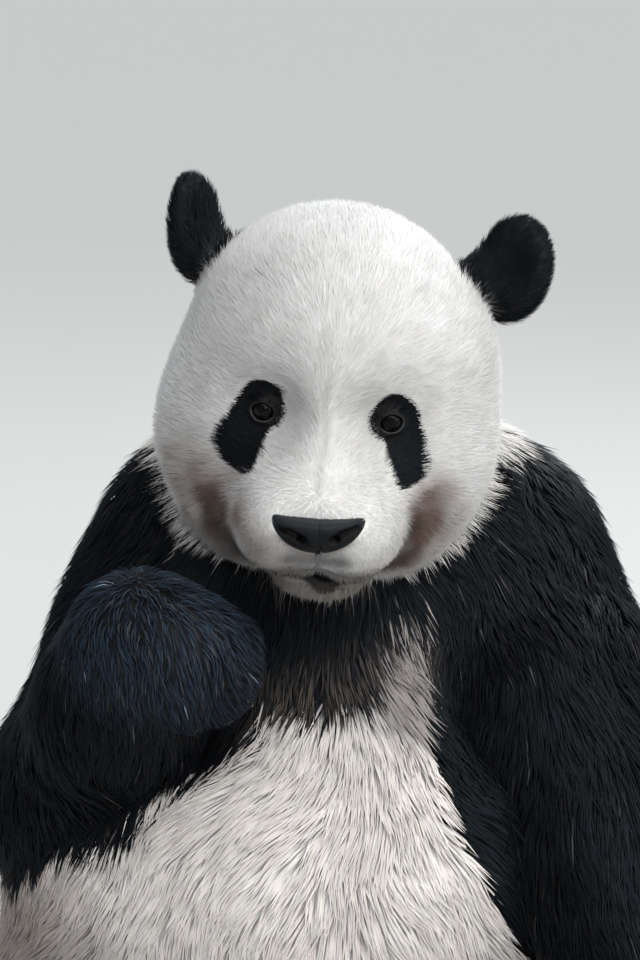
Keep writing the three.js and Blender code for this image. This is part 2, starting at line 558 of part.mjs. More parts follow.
const panda = new THREE.Group();
panda.position.set(-ORIGIN[0], -ORIGIN[1], -ORIGIN[2]);
const SLIM = (n) => (/eye/.test(n) ? 1e-3 : /nose|ear|jaw/.test(n) ? 0.7 : /head/.test(n) ? 1.5 : /paw|foot/.test(n) ? 1.8 : /trunk/.test(n) ? 4.0 : 3.2);
for (const [name, s] of Object.entries(pieces)) {
  const { pos, tris } = slimmed(s, SLIM(name));
  const g = new THREE.BufferGeometry();
  g.setAttribute("position", new THREE.Float32BufferAttribute(pos.flat(), 3));
  g.setIndex(tris.flat());
  g.computeVertexNormals();
  const mesh = new THREE.Mesh(g, new THREE.MeshStandardMaterial({ ...LOOKS[lookOf(name)], metalness: 0 }));
  mesh.name = name;
  panda.add(mesh);
}

export default panda;
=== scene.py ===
# A giant panda, life size, sitting on its rump with the hind legs forward, the
# right forepaw raised beside the chin and the left forepaw on the left shin.
# The body is one smooth shape in millimetres, the same table as the solids. The
# skin is that shape drawn in by the coat's depth, and the coat is laid on it
# tuft by tuft, each with its root on the skin and its tip near the outer shape.

import bpy
import numpy as np
from math import radians, cos, sin, pi
from mathutils import Matrix, Vector


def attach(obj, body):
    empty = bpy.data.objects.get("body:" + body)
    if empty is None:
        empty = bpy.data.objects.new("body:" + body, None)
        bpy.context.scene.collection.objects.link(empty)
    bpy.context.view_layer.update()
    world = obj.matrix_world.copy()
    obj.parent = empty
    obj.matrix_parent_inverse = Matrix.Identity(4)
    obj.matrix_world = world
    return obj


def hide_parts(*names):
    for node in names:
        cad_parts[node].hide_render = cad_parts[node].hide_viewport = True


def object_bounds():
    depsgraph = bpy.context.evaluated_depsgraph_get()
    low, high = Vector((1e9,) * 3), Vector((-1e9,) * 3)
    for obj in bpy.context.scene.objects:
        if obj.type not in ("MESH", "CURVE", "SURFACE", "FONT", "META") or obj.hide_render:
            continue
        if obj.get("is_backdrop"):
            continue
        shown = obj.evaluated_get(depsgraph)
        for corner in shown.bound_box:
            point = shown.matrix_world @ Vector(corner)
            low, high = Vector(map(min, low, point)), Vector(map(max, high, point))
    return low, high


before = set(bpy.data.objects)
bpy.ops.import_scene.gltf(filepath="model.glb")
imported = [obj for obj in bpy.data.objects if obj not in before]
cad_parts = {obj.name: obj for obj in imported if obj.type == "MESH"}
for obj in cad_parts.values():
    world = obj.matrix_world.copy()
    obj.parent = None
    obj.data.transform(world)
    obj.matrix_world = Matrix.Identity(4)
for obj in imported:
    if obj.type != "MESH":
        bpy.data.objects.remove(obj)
CAD_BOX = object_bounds()
rng = np.random.default_rng(20)

# ---------------------------------------------------------------- coat sizes
SPACING = 1.0                                # 1 is the full coat; larger is thinner

# ---------------------------------------------------------------- sizes, mm
# The body faces -Y, its right side at -X, and stands on z = 0.
ORIGIN = np.array([-1.0, -99.0, 0.0])        # the model's own zero

HEAD_AT = np.array([0.0, -60.0, 770.0])
EYE_X, EYE_Y, EYE_Z, EYE_R = 52.0, -93.5, 20.0, 13.0
FACE_X = 1.5                                 # the middle line of the face

SHOULDER = {-1: (-120, 62, 600), 1: (162, 55, 597)}
UPPER = {-1: (-157, 22, 522), 1: (194, -65, 500)}
ELBOW = {-1: (-230, -52, 402), 1: (238, -165, 400)}
FOREARM_R = (-180, -150, 525)
WRIST = {-1: (-158, -200, 594), 1: (262, -272, 303)}
PALM = {-1: (-126, -228, 603), 1: (270, -322, 258)}
HIP, KNEE, ANKLE, SOLE = (140, 25, 165), (275, -205, 150), (318, -395, 84), (330, -444, 120)
A = np.array


def rot(rx=0.0, ry=0.0, rz=0.0):
    rx, ry, rz = radians(rx), radians(ry), radians(rz)
    X = A([[1, 0, 0], [0, cos(rx), -sin(rx)], [0, sin(rx), cos(rx)]])
    Y = A([[cos(ry), 0, sin(ry)], [0, 1, 0], [-sin(ry), 0, cos(ry)]])
    Z = A([[cos(rz), -sin(rz), 0], [sin(rz), cos(rz), 0], [0, 0, 1]])
    return Y @ X @ Z


HEAD_M = rot(4.0, 4.5, -2.5)


def to_head(P):
    return (P - HEAD_AT) @ HEAD_M


def from_head(Q):
    return HEAD_AT + A(Q, float) @ HEAD_M.T


def unit(v):
    v = A(v, float)
    return v / np.maximum(np.linalg.norm(v, axis=-1, keepdims=True), 1e-12)


def length(v):
    return np.sqrt(np.einsum("...i,...i->...", v, v))


def smooth(t):
    t = np.clip(t, 0.0, 1.0)
    return t * t * (3.0 - 2.0 * t)


# ---------------------------------------------------------------- solids as distances
def ball(at, r, tilt=None):
    at, r = A(at, float), A(r, float)
    M = None if tilt is None else rot(*tilt)

    def f(P):
        L = P - at
        if M is not None:
            L = L @ M
        a = L / r
        b = a / r
        k0, k1 = length(a), length(b)
        return k0 * (k0 - 1.0) / np.maximum(k1, 1e-9)
    return f


def bone(a, b, ra, rb):
    a, b = A(a, float), A(b, float)
    ab = b - a
    l2 = ab @ ab

    def f(P):
        q = P - a
        t = np.clip(q @ ab / l2, 0.0, 1.0)
        return length(q - t[..., None] * ab) - (ra + (rb - ra) * t)
    return f


def soft(a, b, k):
    h = np.maximum(k - np.abs(a - b), 0.0) / k
    return np.minimum(a, b) - h * h * k * 0.25


def soft_cut(a, b, k):
    return -soft(-a, b, k)


def merged(parts, k):
    def f(P):
        d = parts[0](P)
        for q in parts[1:]:
            d = soft(d, q(P), k)
        return d
    return f


trunk_shape = merged([
    ball((0, 45, 190), (288, 235, 205)),
    ball((0, -20, 330), (308, 245, 215), (-12, 0, 0)),
    ball((12, 40, 520), (205, 175, 200), (-15, 0, 0)),
    ball((8, 115, 470), (195, 150, 270), (-12, 0, 0)),
    bone((14, 115, 610), (6, 50, 715), 140, 122),
], 60.0)
tail_shape = ball((0, 262, 92), (44, 34, 68), (-14, 0, 0))

skull = merged([
    ball((0, 14, 46), (130, 128, 128)),
    ball((-2, -36, 56), (98, 78, 84)),
    ball((-65, -8, -25), (88, 92, 100)),
    ball((65, -8, -25), (88, 92, 100)),
    ball((83, 0, 46), (56, 78, 62)),
    ball((-50, -30, -84), (62, 70, 60)),
    ball((54, -30, -82), (62, 70, 60)),
    bone((FACE_X - 2, -74, 6), (FACE_X + 1, -146, -58), 40, 34),
    ball((FACE_X - 35, -108, -62), (41, 76, 48)),
    ball((FACE_X + 35, -108, -62), (41, 76, 48)),
], 34.0)
chin = ball((FACE_X + 4, -104, -108), (48, 62, 32), (-8, 0, 0))
sockets = [ball((s * 54 + FACE_X, -124, 18), (26, 26, 20)) for s in (-1, 1)]


def head_shape(Q):
    d = soft(skull(Q), chin(Q), 8.0)
    for s in sockets:
        d = soft_cut(d, s(Q), 30.0)
    return d


EARS = {-1: (A((-129.0, 39, 138)), (-5.6, -9.6, 52), (31, 20, 47.5), (23, 18, 34)),
        1: (A((148.5, 39, 121.5)), (-8, 9, -26), (38.5, 20, 51), (28, 18, 36))}
EAR_ROOTS = {-1: (A((-116.0, 34, 117.6)), (34, 19, 37), (0, -5, 0)), 1: (A((109.0, 34, 103)), (20, 19, 33), (0, 15, 0))}


def ear_shape(s):
    at, tilt, r, cup_r = EARS[s]
    shell = merged([ball(at, r, tilt), ball(*EAR_ROOTS[s])], 14.0)
    cup = ball(at + rot(*tilt) @ A((0, -30, 4)), cup_r, tilt)
    return lambda Q: soft_cut(shell(Q), cup(Q), 10.0)


ears = {s: ear_shape(s) for s in (-1, 1)}


def toe_row(palm, way, across, back, width, reach, drop, r):
    toes = []
    for i in range(-2, 3):
        arch = 1 - 0.09 * i * i
        root = palm + across * i * width * 0.82 + way * reach * 0.3
        tip = palm + across * i * width + way * reach * arch - back * drop
        toes.append((root, tip, r * (0.9 + 0.1 * arch)))
    return toes


def axes(way, back):
    way = unit(way)
    across = unit(np.cross(back, way))
    return way, across, np.cross(way, across)


PAW = {-1: axes((0.78, -0.28, -0.5), (-0.1, -0.85, 0.5)), 1: axes((0.1, -0.78, -0.62), (0.1, -0.62, 0.78))}
FOOT = {s: axes((s * 0.05, -0.16, 0.98), (s * -0.1, 0.98, 0.16)) for s in (-1, 1)}
FOOT_PALM = {s: A((s * 330.0, -446, 150)) for s in (-1, 1)}
TOES = {
    -1: toe_row(A(PALM[-1], float), *PAW[-1], 20, 60, 16, 19),
    1: toe_row(A(PALM[1], float), *PAW[1], 22, 66, 14, 19),
}
FOOT_TOES = {s: toe_row(FOOT_PALM[s], *FOOT[s], 24, 76, 12, 20) for s in (-1, 1)}


def toe_bones(toes):
    return [bone(a, b, r * 1.15, r) for a, b, r in toes]


ARM_BONES = {
    -1: [(SHOULDER[-1], UPPER[-1], 98, 95), (UPPER[-1], ELBOW[-1], 95, 84),
         (ELBOW[-1], FOREARM_R, 84, 74), (FOREARM_R, WRIST[-1], 74, 65)],
    1: [(SHOULDER[1], UPPER[1], 98, 106), (UPPER[1], ELBOW[1], 106, 92), (ELBOW[1], WRIST[1], 92, 72)],
}
_arm = {s: merged([bone(*b) for b in ARM_BONES[s]], 30.0) for s in (-1, 1)}
_paw = {-1: merged([bone(WRIST[-1], PALM[-1], 62, 54)] + toe_bones(TOES[-1]), 16.0),
        1: merged([bone(WRIST[1], PALM[1], 66, 50)] + toe_bones(TOES[1]), 16.0)}


def mirror(p, s):
    return (s * p[0], p[1], p[2])


_leg = {s: merged([bone(mirror(HIP, s), mirror(KNEE, s), 150, 104), bone(mirror(KNEE, s), mirror(ANKLE, s), 102, 64)], 40.0)
        for s in (-1, 1)}
_foot = {s: merged([ball((s * 318, -412, 56), (56, 62, 62)), ball(mirror(SOLE, s), (60, 40, 84), (-10, 0, 0))]
                   + toe_bones(FOOT_TOES[s]), 18.0) for s in (-1, 1)}


def arm_shape(s):
    return lambda P: soft(_arm[s](P), _paw[s](P), 24.0)


def leg_shape(s):
    return lambda P: soft(_leg[s](P), _foot[s](P), 24.0)


JOINS = [("leg_r", leg_shape(-1), (-140, 40, 180), 200, 330, 70, 14),
         ("leg_l", leg_shape(1), (140, 40, 180), 200, 330, 70, 14),
         ("tail", tail_shape, (0, 250, 120), 100, 200, 30, 20),
         ("arm_r", arm_shape(-1), (-150, 70, 600), 120, 240, 90, 12),
         ("arm_l", arm_shape(1), (150, 75, 610), 120, 240, 90, 12)]
PARTS = ["trunk", "leg_r", "leg_l", "tail", "arm_r", "arm_l", "head", "ears"]


def body(P):
    """The outside of the coat as one distance, and each part's own."""
    d = [trunk_shape(P)]
    w = d[0]
    for _, f, at, r0, r1, k1, k0 in JOINS:
        e = f(P)
        d.append(e)
        near = 1 - smooth((length(P - A(at, float)) - r0) / (r1 - r0))
        w = soft(w, e, k0 + (k1 - k0) * near)
    Q = to_head(P)
    h = head_shape(Q)
    w = soft(w, h, 14.0 + 46.0 * np.clip((Q[..., 1] + 20.0) / 90.0, 0, 1))
    e = np.minimum(ears[-1](Q), ears[1](Q))
    w = soft(w, e, 10.0)
    return w, d + [h, e]


def coat(P):
    return body(P)[0]

# ---------------------------------------------------------------- camera, first
CAM_AT = (A([-7.83, -2289.85, 1337.90]) - ORIGIN) / 1000
CAM_PITCH = 16.0
cam_data = bpy.data.cameras.new("camera")
cam = bpy.data.objects.new("camera", cam_data)
bpy.context.scene.collection.objects.link(cam)
cam.location = CAM_AT
cam.rotation_euler = (radians(90 - CAM_PITCH), 0, 0)
cam_data.sensor_width = 36
cam_data.lens = 99.14
bpy.context.scene.camera = cam

# ---------------------------------------------------------------- smooth noise
def waves(P, size, seed, n=9):
    """A smooth wandering value, about -1 to 1, whose bumps are `size` mm across."""
    g = np.random.default_rng(seed)
    k = unit(g.normal(size=(n, 3))) * (2 * pi / (size * g.uniform(1.2, 2.6, (n, 1))))
    ph = g.uniform(0, 2 * pi, n)
    out = np.zeros(P.shape[:-1])
    for i in range(n):
        out += np.sin(P @ k[i] + ph[i])
    return out / (n ** 0.5) * 0.9


def waves3(P, size, seed):
    return np.stack([waves(P, size, seed + i) for i in range(3)], -1)


# ---------------------------------------------------------------- the coat's depth
NOSE_TIP = A([3.5, -172.0, -52.0])          # in the head's frame, as the next ones are
EYE = {s: A([s * EYE_X + FACE_X, EYE_Y, EYE_Z]) for s in (-1, 1)}


def shares(d, reach=14.0):
    D = np.stack(d, 0)
    w = np.exp(-(D - D.min(0)) / reach)
    return w / w.sum(0)


def head_depth(Q):
    x, y, z = Q[..., 0], Q[..., 1], Q[..., 2]
    rn = length(Q - NOSE_TIP)
    t = 2.0 + 3.8 * smooth((rn - 24) / 125)
    t = t + 5.0 * smooth((np.abs(x) - 70) / 55) * smooth((10 - z) / 70) * smooth((y + 75) / 60) * smooth((90 - y) / 70)
    t = t + 1.5 * smooth((y - 40) / 70)
    for s in (-1, 1):
        t = t * (0.22 + 0.78 * smooth((length(Q - EYE[s]) - 14) / 34))
    return t


def depths(P, d):
    """How far the skin lies under the outside of the coat."""
    Q = to_head(P)
    w = shares(d)
    leg = [12.5 - 6.5 * (1 - smooth((length(P - A(mirror(SOLE, s), float)) - 80) / 110)) for s in (-1, 1)]
    arm = [13.5 - 6.5 * (1 - smooth((length(P - A(PALM[s], float)) - 62) / 90)) for s in (-1, 1)]
    each = [12.5, leg[0], leg[1], 12.0, arm[0], arm[1], head_depth(Q), 4.5]
    return sum(w[i] * each[i] for i in range(8))


def skin(P):
    w, d = body(P)
    return w + depths(P, d)


TETRA = A([[1, -1, -1], [-1, -1, 1], [-1, 1, -1], [1, 1, 1]], float)


def slope(f, P, h=0.6):
    return sum(k * f(P + k * h)[..., None] for k in TETRA) / (4 * h)


def by_block(f, P, n=60000):
    return np.concatenate([f(P[i:i + n]) for i in range(0, len(P), n)]) if len(P) else f(P)


def settle(f, P, level=0.0, steps=2, most=6.0):
    """Points drawn onto f = level."""
    def one(P):
        for _ in range(steps):
            g = slope(f, P)
            m = -(f(P) - level) / np.maximum((g * g).sum(-1), 0.09)
            P = P + g * np.clip(m, -most, most)[..., None]
        return P
    return by_block(one, P)


# ---------------------------------------------------------------- from distance to mesh
def sampled(f, lo, hi, h, B=8):
    """f on a grid, worked out only in the blocks near its surface."""
    lo = A(lo, float)
    n = np.ceil((A(hi) - lo) / h / B).astype(int) * B + 1
    nb = (n - 1) // B
    bi = np.stack(np.meshgrid(*[np.arange(k) for k in nb], indexing="ij"), -1).reshape(-1, 3)
    d = f(lo + h * (bi * B + B / 2))
    keep = np.abs(d) < B * h * 1.35 + 20
    full = d.reshape(nb)
    for ax in range(3):
        full = np.repeat(full, B, ax)
    out = np.ones(n)
    out[:-1, :-1, :-1] = full
    o = np.arange(B + 1)
    off = np.stack(np.meshgrid(o, o, o, indexing="ij"), -1).reshape(-1, 3)
    kb = bi[keep]
    for i in range(0, len(kb), 100):
        g = (kb[i:i + 100, None, :] * B + off[None]).reshape(-1, 3)
        out[g[:, 0], g[:, 1], g[:, 2]] = f(lo + h * g)
    for ax in range(3):
        for e in (0, -1):
            s = [slice(None)] * 3
            s[ax] = e
            out[tuple(s)] = np.maximum(out[tuple(s)], 0.3 * h)
    return out, lo


def net(v, lo, h):
    """Closed quads round v < 0, one vertex to a cell."""
    s = v < 0
    nx, ny, nz = v.shape
    tot = sum(s[i:nx - 1 + i, j:ny - 1 + j, k:nz - 1 + k].astype(np.int8) for i in (0, 1) for j in (0, 1) for k in (0, 1))
    cell = (tot > 0) & (tot < 8)
    ci = np.argwhere(cell)
    idx = -np.ones(cell.shape, np.int64)
    idx[cell] = np.arange(len(ci))
    pos, cnt = np.zeros((len(ci), 3)), np.zeros(len(ci))
    off = [(i, j, k) for i in (0, 1) for j in (0, 1) for k in (0, 1)]
    for a in range(8):
        for b in range(a + 1, 8):
            da, db = A(off[a]), A(off[b])
            if np.abs(da - db).sum() != 1:
                continue
            p, q = ci + da, ci + db
            va, vb = v[p[:, 0], p[:, 1], p[:, 2]], v[q[:, 0], q[:, 1], q[:, 2]]
            m = (va < 0) != (vb < 0)
            t = np.where(m, va / np.where(m, va - vb, 1), 0)
            pos[m] += (p + t[:, None] * (db - da))[m]
            cnt[m] += 1
    pos = lo + h * pos / cnt[:, None]
    quads = []
    for ax in range(3):
        s0, s1 = [slice(None)] * 3, [slice(None)] * 3
        s0[ax], s1[ax] = slice(0, -1), slice(1, None)
        e = np.argwhere(s[tuple(s0)] != s[tuple(s1)])
        o1, o2 = (ax + 1) % 3, (ax + 2) % 3
        e = e[(e[:, o1] > 0) & (e[:, o2] > 0) & (e[:, o1] < v.shape[o1] - 1) & (e[:, o2] < v.shape[o2] - 1)]
        inside = s[e[:, 0], e[:, 1], e[:, 2]]
        q = []
        for d1, d2 in ((0, 0), (-1, 0), (-1, -1), (0, -1)):
            g = e.copy()
            g[:, o1] += d1
            g[:, o2] += d2
            q.append(idx[g[:, 0], g[:, 1], g[:, 2]])
        q = np.stack(q, 1)
        q[~inside] = q[~inside][:, ::-1]
        quads.append(q)
    return pos, np.concatenate(quads)


def triangles(V, quads):
    a, b, c, d = (V[quads[:, i]] for i in range(4))
    one = length(a - c) <= length(b - d)
    q = quads
    return np.concatenate([q[one][:, [0, 1, 2]], q[one][:, [0, 2, 3]], q[~one][:, [0, 1, 3]], q[~one][:, [1, 2, 3]]])


def refine(V, T, size, f, rounds=6):
    """Edges longer than the wanted size are halved, and the new points drawn onto f."""
    for _ in range(rounds):
        E = np.sort(np.concatenate([T[:, [0, 1]], T[:, [1, 2]], T[:, [2, 0]]]), 1)
        key = E[:, 0] * len(V) + E[:, 1]
        u, first, inv = np.unique(key, return_index=True, return_inverse=True)
        e = E[first]
        mid = (V[e[:, 0]] + V[e[:, 1]]) / 2
        split = length(V[e[:, 0]] - V[e[:, 1]]) > 1.4 * size(mid)
        if not split.any():
            break
        new = -np.ones(len(e), np.int64)
        new[split] = len(V) + np.arange(split.sum())
        V = np.concatenate([V, settle(f, mid[split], steps=1)])
        n = len(T)
        m = np.stack([new[inv[:n]], new[inv[n:2 * n]], new[inv[2 * n:]]], 1)      # on edges 01, 12, 20
        has = m >= 0
        k = has.sum(1)
        out = [T[k == 0]]
        t, x = T[k == 3], m[k == 3]
        out += [np.stack([t[:, 0], x[:, 0], x[:, 2]], 1), np.stack([x[:, 0], t[:, 1], x[:, 1]], 1),
                np.stack([x[:, 2], x[:, 1], t[:, 2]], 1), x]
        for r in range(3):
            roll = [(r + i) % 3 for i in range(3)]
            t, x, h = T[:, roll], m[:, roll], has[:, roll]
            s = (k == 1) & h[:, 0]
            out += [np.stack([t[s, 0], x[s, 0], t[s, 2]], 1), np.stack([x[s, 0], t[s, 1], t[s, 2]], 1)]
            s = (k == 2) & ~h[:, 0]
            out += [np.stack([t[s, 2], x[s, 2], x[s, 1]], 1)]
            d0, d1 = length(V[t[s, 0]] - V[x[s, 1]]), length(V[t[s, 1]] - V[x[s, 2]])
            c = d0 <= d1
            a, b, p, q = t[s, 0], t[s, 1], x[s, 1], x[s, 2]
            out += [np.stack([a, b, p], 1)[c], np.stack([a, p, q], 1)[c], np.stack([a, b, q], 1)[~c], np.stack([b, p, q], 1)[~c]]
        T = np.concatenate(out)
    return V, T


def vertex_normals(V, T):
    n = np.cross(V[T[:, 1]] - V[T[:, 0]], V[T[:, 2]] - V[T[:, 0]])
    out = np.zeros_like(V)
    for i in range(3):
        for j in range(3):
            out[:, j] += np.bincount(T[:, i], n[:, j], len(V))
    return unit(out)


def metres(P):
    return (P - ORIGIN) / 1000


def to_mesh(name, V, T, smooth_shade=True, colours=None, uv=None, normals=None):
    """A mesh object of triangles T over points V, which are in millimetres; normals are one to a corner."""
    me = bpy.data.meshes.new(name)
    me.vertices.add(len(V))
    me.vertices.foreach_set("co", metres(V).astype(np.float32).ravel())
    me.loops.add(len(T) * 3)
    me.loops.foreach_set("vertex_index", T.astype(np.int32).ravel())
    me.polygons.add(len(T))
    me.polygons.foreach_set("loop_start", np.arange(0, len(T) * 3, 3, dtype=np.int32))
    me.polygons.foreach_set("use_smooth", np.full(len(T), smooth_shade))
    me.update(calc_edges=True)
    if colours is not None:
        c = me.color_attributes.new("coat", "FLOAT_COLOR", "POINT")
        c.data.foreach_set("color", np.concatenate([colours, np.ones((len(V), 1))], 1).astype(np.float32).ravel())
    if uv is not None:
        layer = me.uv_layers.new(name="OFBake")
        layer.data.foreach_set("uv", uv[T.ravel()].astype(np.float32).ravel())
    if normals is not None:
        me.attributes.new("custom_normal", "FLOAT_VECTOR", "CORNER").data.foreach_set("vector", normals.astype(np.float32).ravel())
        me.update()
    ob = bpy.data.objects.new(name, me)
    bpy.context.scene.collection.objects.link(ob)
    return ob

# ---------------------------------------------------------------- markings, and painted shade
HEAD_WHITE = A([0.90, 0.885, 0.86])
NECK_WHITE = A([0.78, 0.75, 0.71])
BELLY_WHITE = A([0.84, 0.785, 0.74])
BACK_WHITE = A([0.76, 0.72, 0.66])
CHEEK_BROWN_AND_SHADE = A([0.175, 0.108, 0.080])
CHIN_BROWN_AND_SHADE = A([0.17, 0.14, 0.112])
LIP_GREY = A([0.10, 0.092, 0.092])
BLACK_COAT = A([0.0040, 0.0046, 0.0060])
PALE_PATCH = A([0.36, 0.325, 0.31])
PATCHES = {-1: ((-53.5, 31.0), (-74.0, -10.0), 17.0, 20.5), 1: ((59.5, 26.0), (78.0, -17.5), 17.6, 14.8)}


def rod(p, a, b, ra, rb):
    a, b = A(a, float), A(b, float)
    ab = b - a
    t = np.clip((p - a) @ ab / (ab @ ab), 0, 1)
    return length(p - a - t[..., None] * ab) - (ra + (rb - ra) * t)


def patch_distance(Q):
    """Distance to the edge of the black round each eye, negative inside."""
    xz = Q[..., [0, 2]]
    d = np.minimum(rod(xz, *PATCHES[-1]), rod(xz, *PATCHES[1]))
    d = d + 0.7 * waves(Q, 22, 5) + 0.6 * waves(Q, 8, 6)
    return np.where(Q[..., 1] < -25, d, 60.0)


def blackness(P, d, label=None):
    """0 on the white coat, 1 on the black; label says which part of the body the tufts grow on."""
    Q = to_head(P)
    w = shares(d, 9.0)
    if label is not None:
        w = 0.15 * w
        w[label] = w[label] + 0.85
    x, y, z = P[..., 0], P[..., 1], P[..., 2]
    n = waves(P, 70, 11) * 7 + waves(P, 24, 12) * 4
    face = (1 - smooth((patch_distance(Q) + 1.2) / 3.2)) * w[6]
    if label == 6:
        face = np.maximum(face, 1 - smooth(d[7] / 5.0))
    front = np.where(x < -60, 497 + 0.71 * (x + 60), 513 + 0.27 * np.clip(x, -60, 60))
    low = front + (470 - front) * smooth((y + 90) / 150)
    high = 697 + 1.2 * np.clip(-25 - y, 0, 120) - 50 * smooth((y - 60) / 150)
    under = smooth((z + n - low) / 42 + 0.5)
    over = smooth((high - z + n * 0.6) / 22 + 0.5)
    pale = 1 - smooth((length((P - A([78.0, -130, 546])) / A([44.0, 85, 62])) - 0.35) / 0.75)
    yoke = under * over * (1 - 0.66 * pale)
    off = smooth((-y - 30) / 50) + smooth((np.abs(x - 10) - 175) / 40)
    arm = np.clip(w[4] + w[5], 0, 1) * np.clip(over + off, 0, 1)
    # the long hair of the left arm lies over the side of the belly
    edge = np.interp(z, [200.0, 280.0, 323.0, 358.0, 412.0, 457.0, 490.0], [228.0, 188.0, 162.0, 145.0, 120.0, 101.0, 90.0])
    flap = smooth((x - edge + 0.6 * n) / 18 + 0.5) * smooth((20 - y) / 50) * smooth((z - 190) / 40)
    leg = sum(w[i] * smooth((length(P - A(mirror(HIP, s), float)) - 196 + n) / 34) for i, s in ((1, -1), (2, 1)))
    m = np.maximum(w[0] * np.maximum(yoke, flap * over), arm)
    m = np.maximum(np.maximum(m, leg), np.maximum(face, w[7]))
    return np.clip(m * 1.36 - 0.15, 0, 1)


def whites(P, d):
    """The colour of the coat where it isn't black, with painted shade on the face and chin."""
    Q = to_head(P)
    w = shares(d, 25.0)
    x, y, z = P[..., 0], P[..., 1], P[..., 2]
    head = np.clip(w[6] + w[7], 0, 1)[..., None]
    low = smooth((660 - z) / 160)[..., None]
    back = smooth((y - 20) / 140)[..., None]
    trunk = NECK_WHITE + (BELLY_WHITE - NECK_WHITE) * low
    trunk = trunk + (BACK_WHITE - trunk) * back * low
    c = trunk + (HEAD_WHITE - trunk) * head
    pale = (1 - smooth((length((P - A([78.0, -130, 546])) / A([50.0, 90, 78])) - 0.6) / 0.5))[..., None]
    c = c + (PALE_PATCH - c) * pale
    # the cheeks are stained low down, behind the corners of the mouth; the heavier, wider darkening on the left of the
    # face, the side away from the light, is painted shade
    spot = lambda a, b, ra, rb, soft_by: 1 - smooth(rod(Q, a, b, ra, rb) / soft_by + 0.5)
    stain_and_shade = np.maximum(spot((-102, -90, -58), (-66, -104, -110), 29, 36, 46), spot((99, -94, -56), (73, -106, -108), 26, 33, 42))
    stain_and_shade = np.maximum(stain_and_shade, 0.85 * spot((-68, -142, -56), (-38, -180, -78), 17, 17, 48))
    stain_and_shade = np.maximum(stain_and_shade, 0.60 * spot((60, -138, -70), (48, -150, -86), 12, 14, 44))
    # painted shade: broad darkening down the left cheek, jowl and side of the muzzle
    stain_and_shade = np.maximum(stain_and_shade, 0.62 * spot((-122, -68, -44), (-108, -66, -100), 32, 38, 66))
    stain_and_shade = np.maximum(stain_and_shade, 0.80 * spot((-114, -62, -72), (-82, -74, -122), 36, 36, 48))
    stain_and_shade = np.maximum(stain_and_shade, 0.60 * spot((112, -72, -84), (84, -78, -116), 24, 26, 46))
    stain_and_shade = np.maximum(stain_and_shade, 0.72 * spot((-84, -112, -48), (-58, -142, -92), 26, 26, 62))
    stain_and_shade = np.maximum(stain_and_shade, 0.34 * spot((80, -114, -60), (60, -136, -96), 16, 18, 56))
    # the darkest marks low on the cheeks: partly a deeper stain, partly painted shade
    deep = np.maximum(spot((-92, -94, -80), (-62, -106, -114), 19, 24, 44), spot((85, -108, -68), (72, -102, -114), 14, 24, 36))
    stain_and_shade = stain_and_shade * (0.88 + 0.22 * waves(P, 18, 31) + 0.22 * waves(P, 46, 32)) * head[..., 0]
    c = c + (CHEEK_BROWN_AND_SHADE - c) * np.clip(stain_and_shade, 0, 0.95)[..., None]
    c = c + (CHEEK_BROWN_AND_SHADE * 0.34 - c) * (0.85 * np.clip(deep * (0.9 + 0.25 * waves(P, 14, 33)), 0, 1) * head[..., 0])[..., None]
    # the chin below the mouth: partly its own beige-brown, partly painted shade
    jaw = spot((-30, -142, -118), (38, -144, -114), 40, 40, 20) * smooth((2 - lip_gap(Q)) / 3) * by_mouth(Q, 90.0) * head[..., 0]
    c = c + (CHIN_BROWN_AND_SHADE - c) * (0.92 * jaw)[..., None]
    lip = np.maximum(spot((-16, -180, -81), (24, -182, -80), 10, 10, 18), smooth((13 - lip_gap(Q)) / 9) * (Q[..., 1] < -96) * by_mouth(Q, 84.0)) * head[..., 0]
    lip = lip * smooth((lip_gap(Q) + 1) / 2)
    c = c + (LIP_GREY - c) * (0.82 * lip)[..., None]
    # darker and a little browner low down along the flanks
    flank = smooth((np.abs(x) - 165) / 110) * smooth((430 - z) / 120) * (1 - head[..., 0])
    c = c * (1 - 0.50 * flank[..., None] * A([0.92, 1.0, 1.04]))
    # painted shade: grey under the brows over the eyes, and in the fur's parting down the bridge of the nose
    ax = np.abs(Q[..., 0] - FACE_X)
    painted_brow_shade = np.exp(-(((ax - 22) / 20) ** 2 + ((Q[..., 2] - 38) / 20) ** 2)) * (Q[..., 1] < -40)
    part = np.exp(-((Q[..., 0] - FACE_X - 1.5 * np.sin(Q[..., 2] / 9)) / 3.5) ** 2) * smooth((Q[..., 2] + 42) / 20) * smooth((88 - Q[..., 2]) / 40) * (Q[..., 1] < -40)
    c = c * (1 - (0.13 * painted_brow_shade + 0.22 * part)[..., None] * head)
    return c * (1 + 0.05 * waves(P, 60, 41) + 0.04 * waves(P, 14, 42))[..., None]


# ---------------------------------------------------------------- soles and palms
def pad_set(palm, ax, toes, width, size):
    way, across, back = ax
    pads = []
    for a, b, r in toes:
        pads.append((b - back * r * 0.80 + way * r * 0.15, (way, across, back), A([r * 0.70, r * 0.62, r * 0.55])))
    pads.append((palm - back * size[2] + way * 10, (way, across, back), A([size[1], size[0], size[2] * 0.5])))
    return pads


PADS = {
    "foot_r": pad_set(FOOT_PALM[-1], FOOT[-1], FOOT_TOES[-1], 24, (50, 20, 36)),
    "foot_l": pad_set(FOOT_PALM[1], FOOT[1], FOOT_TOES[1], 24, (50, 20, 36)),
    "paw_r": pad_set(A(PALM[-1], float), PAW[-1], TOES[-1], 20, (42, 20, 50)),
    "paw_l": pad_set(A(PALM[1], float), PAW[1], TOES[1], 22, (42, 20, 48)),
}


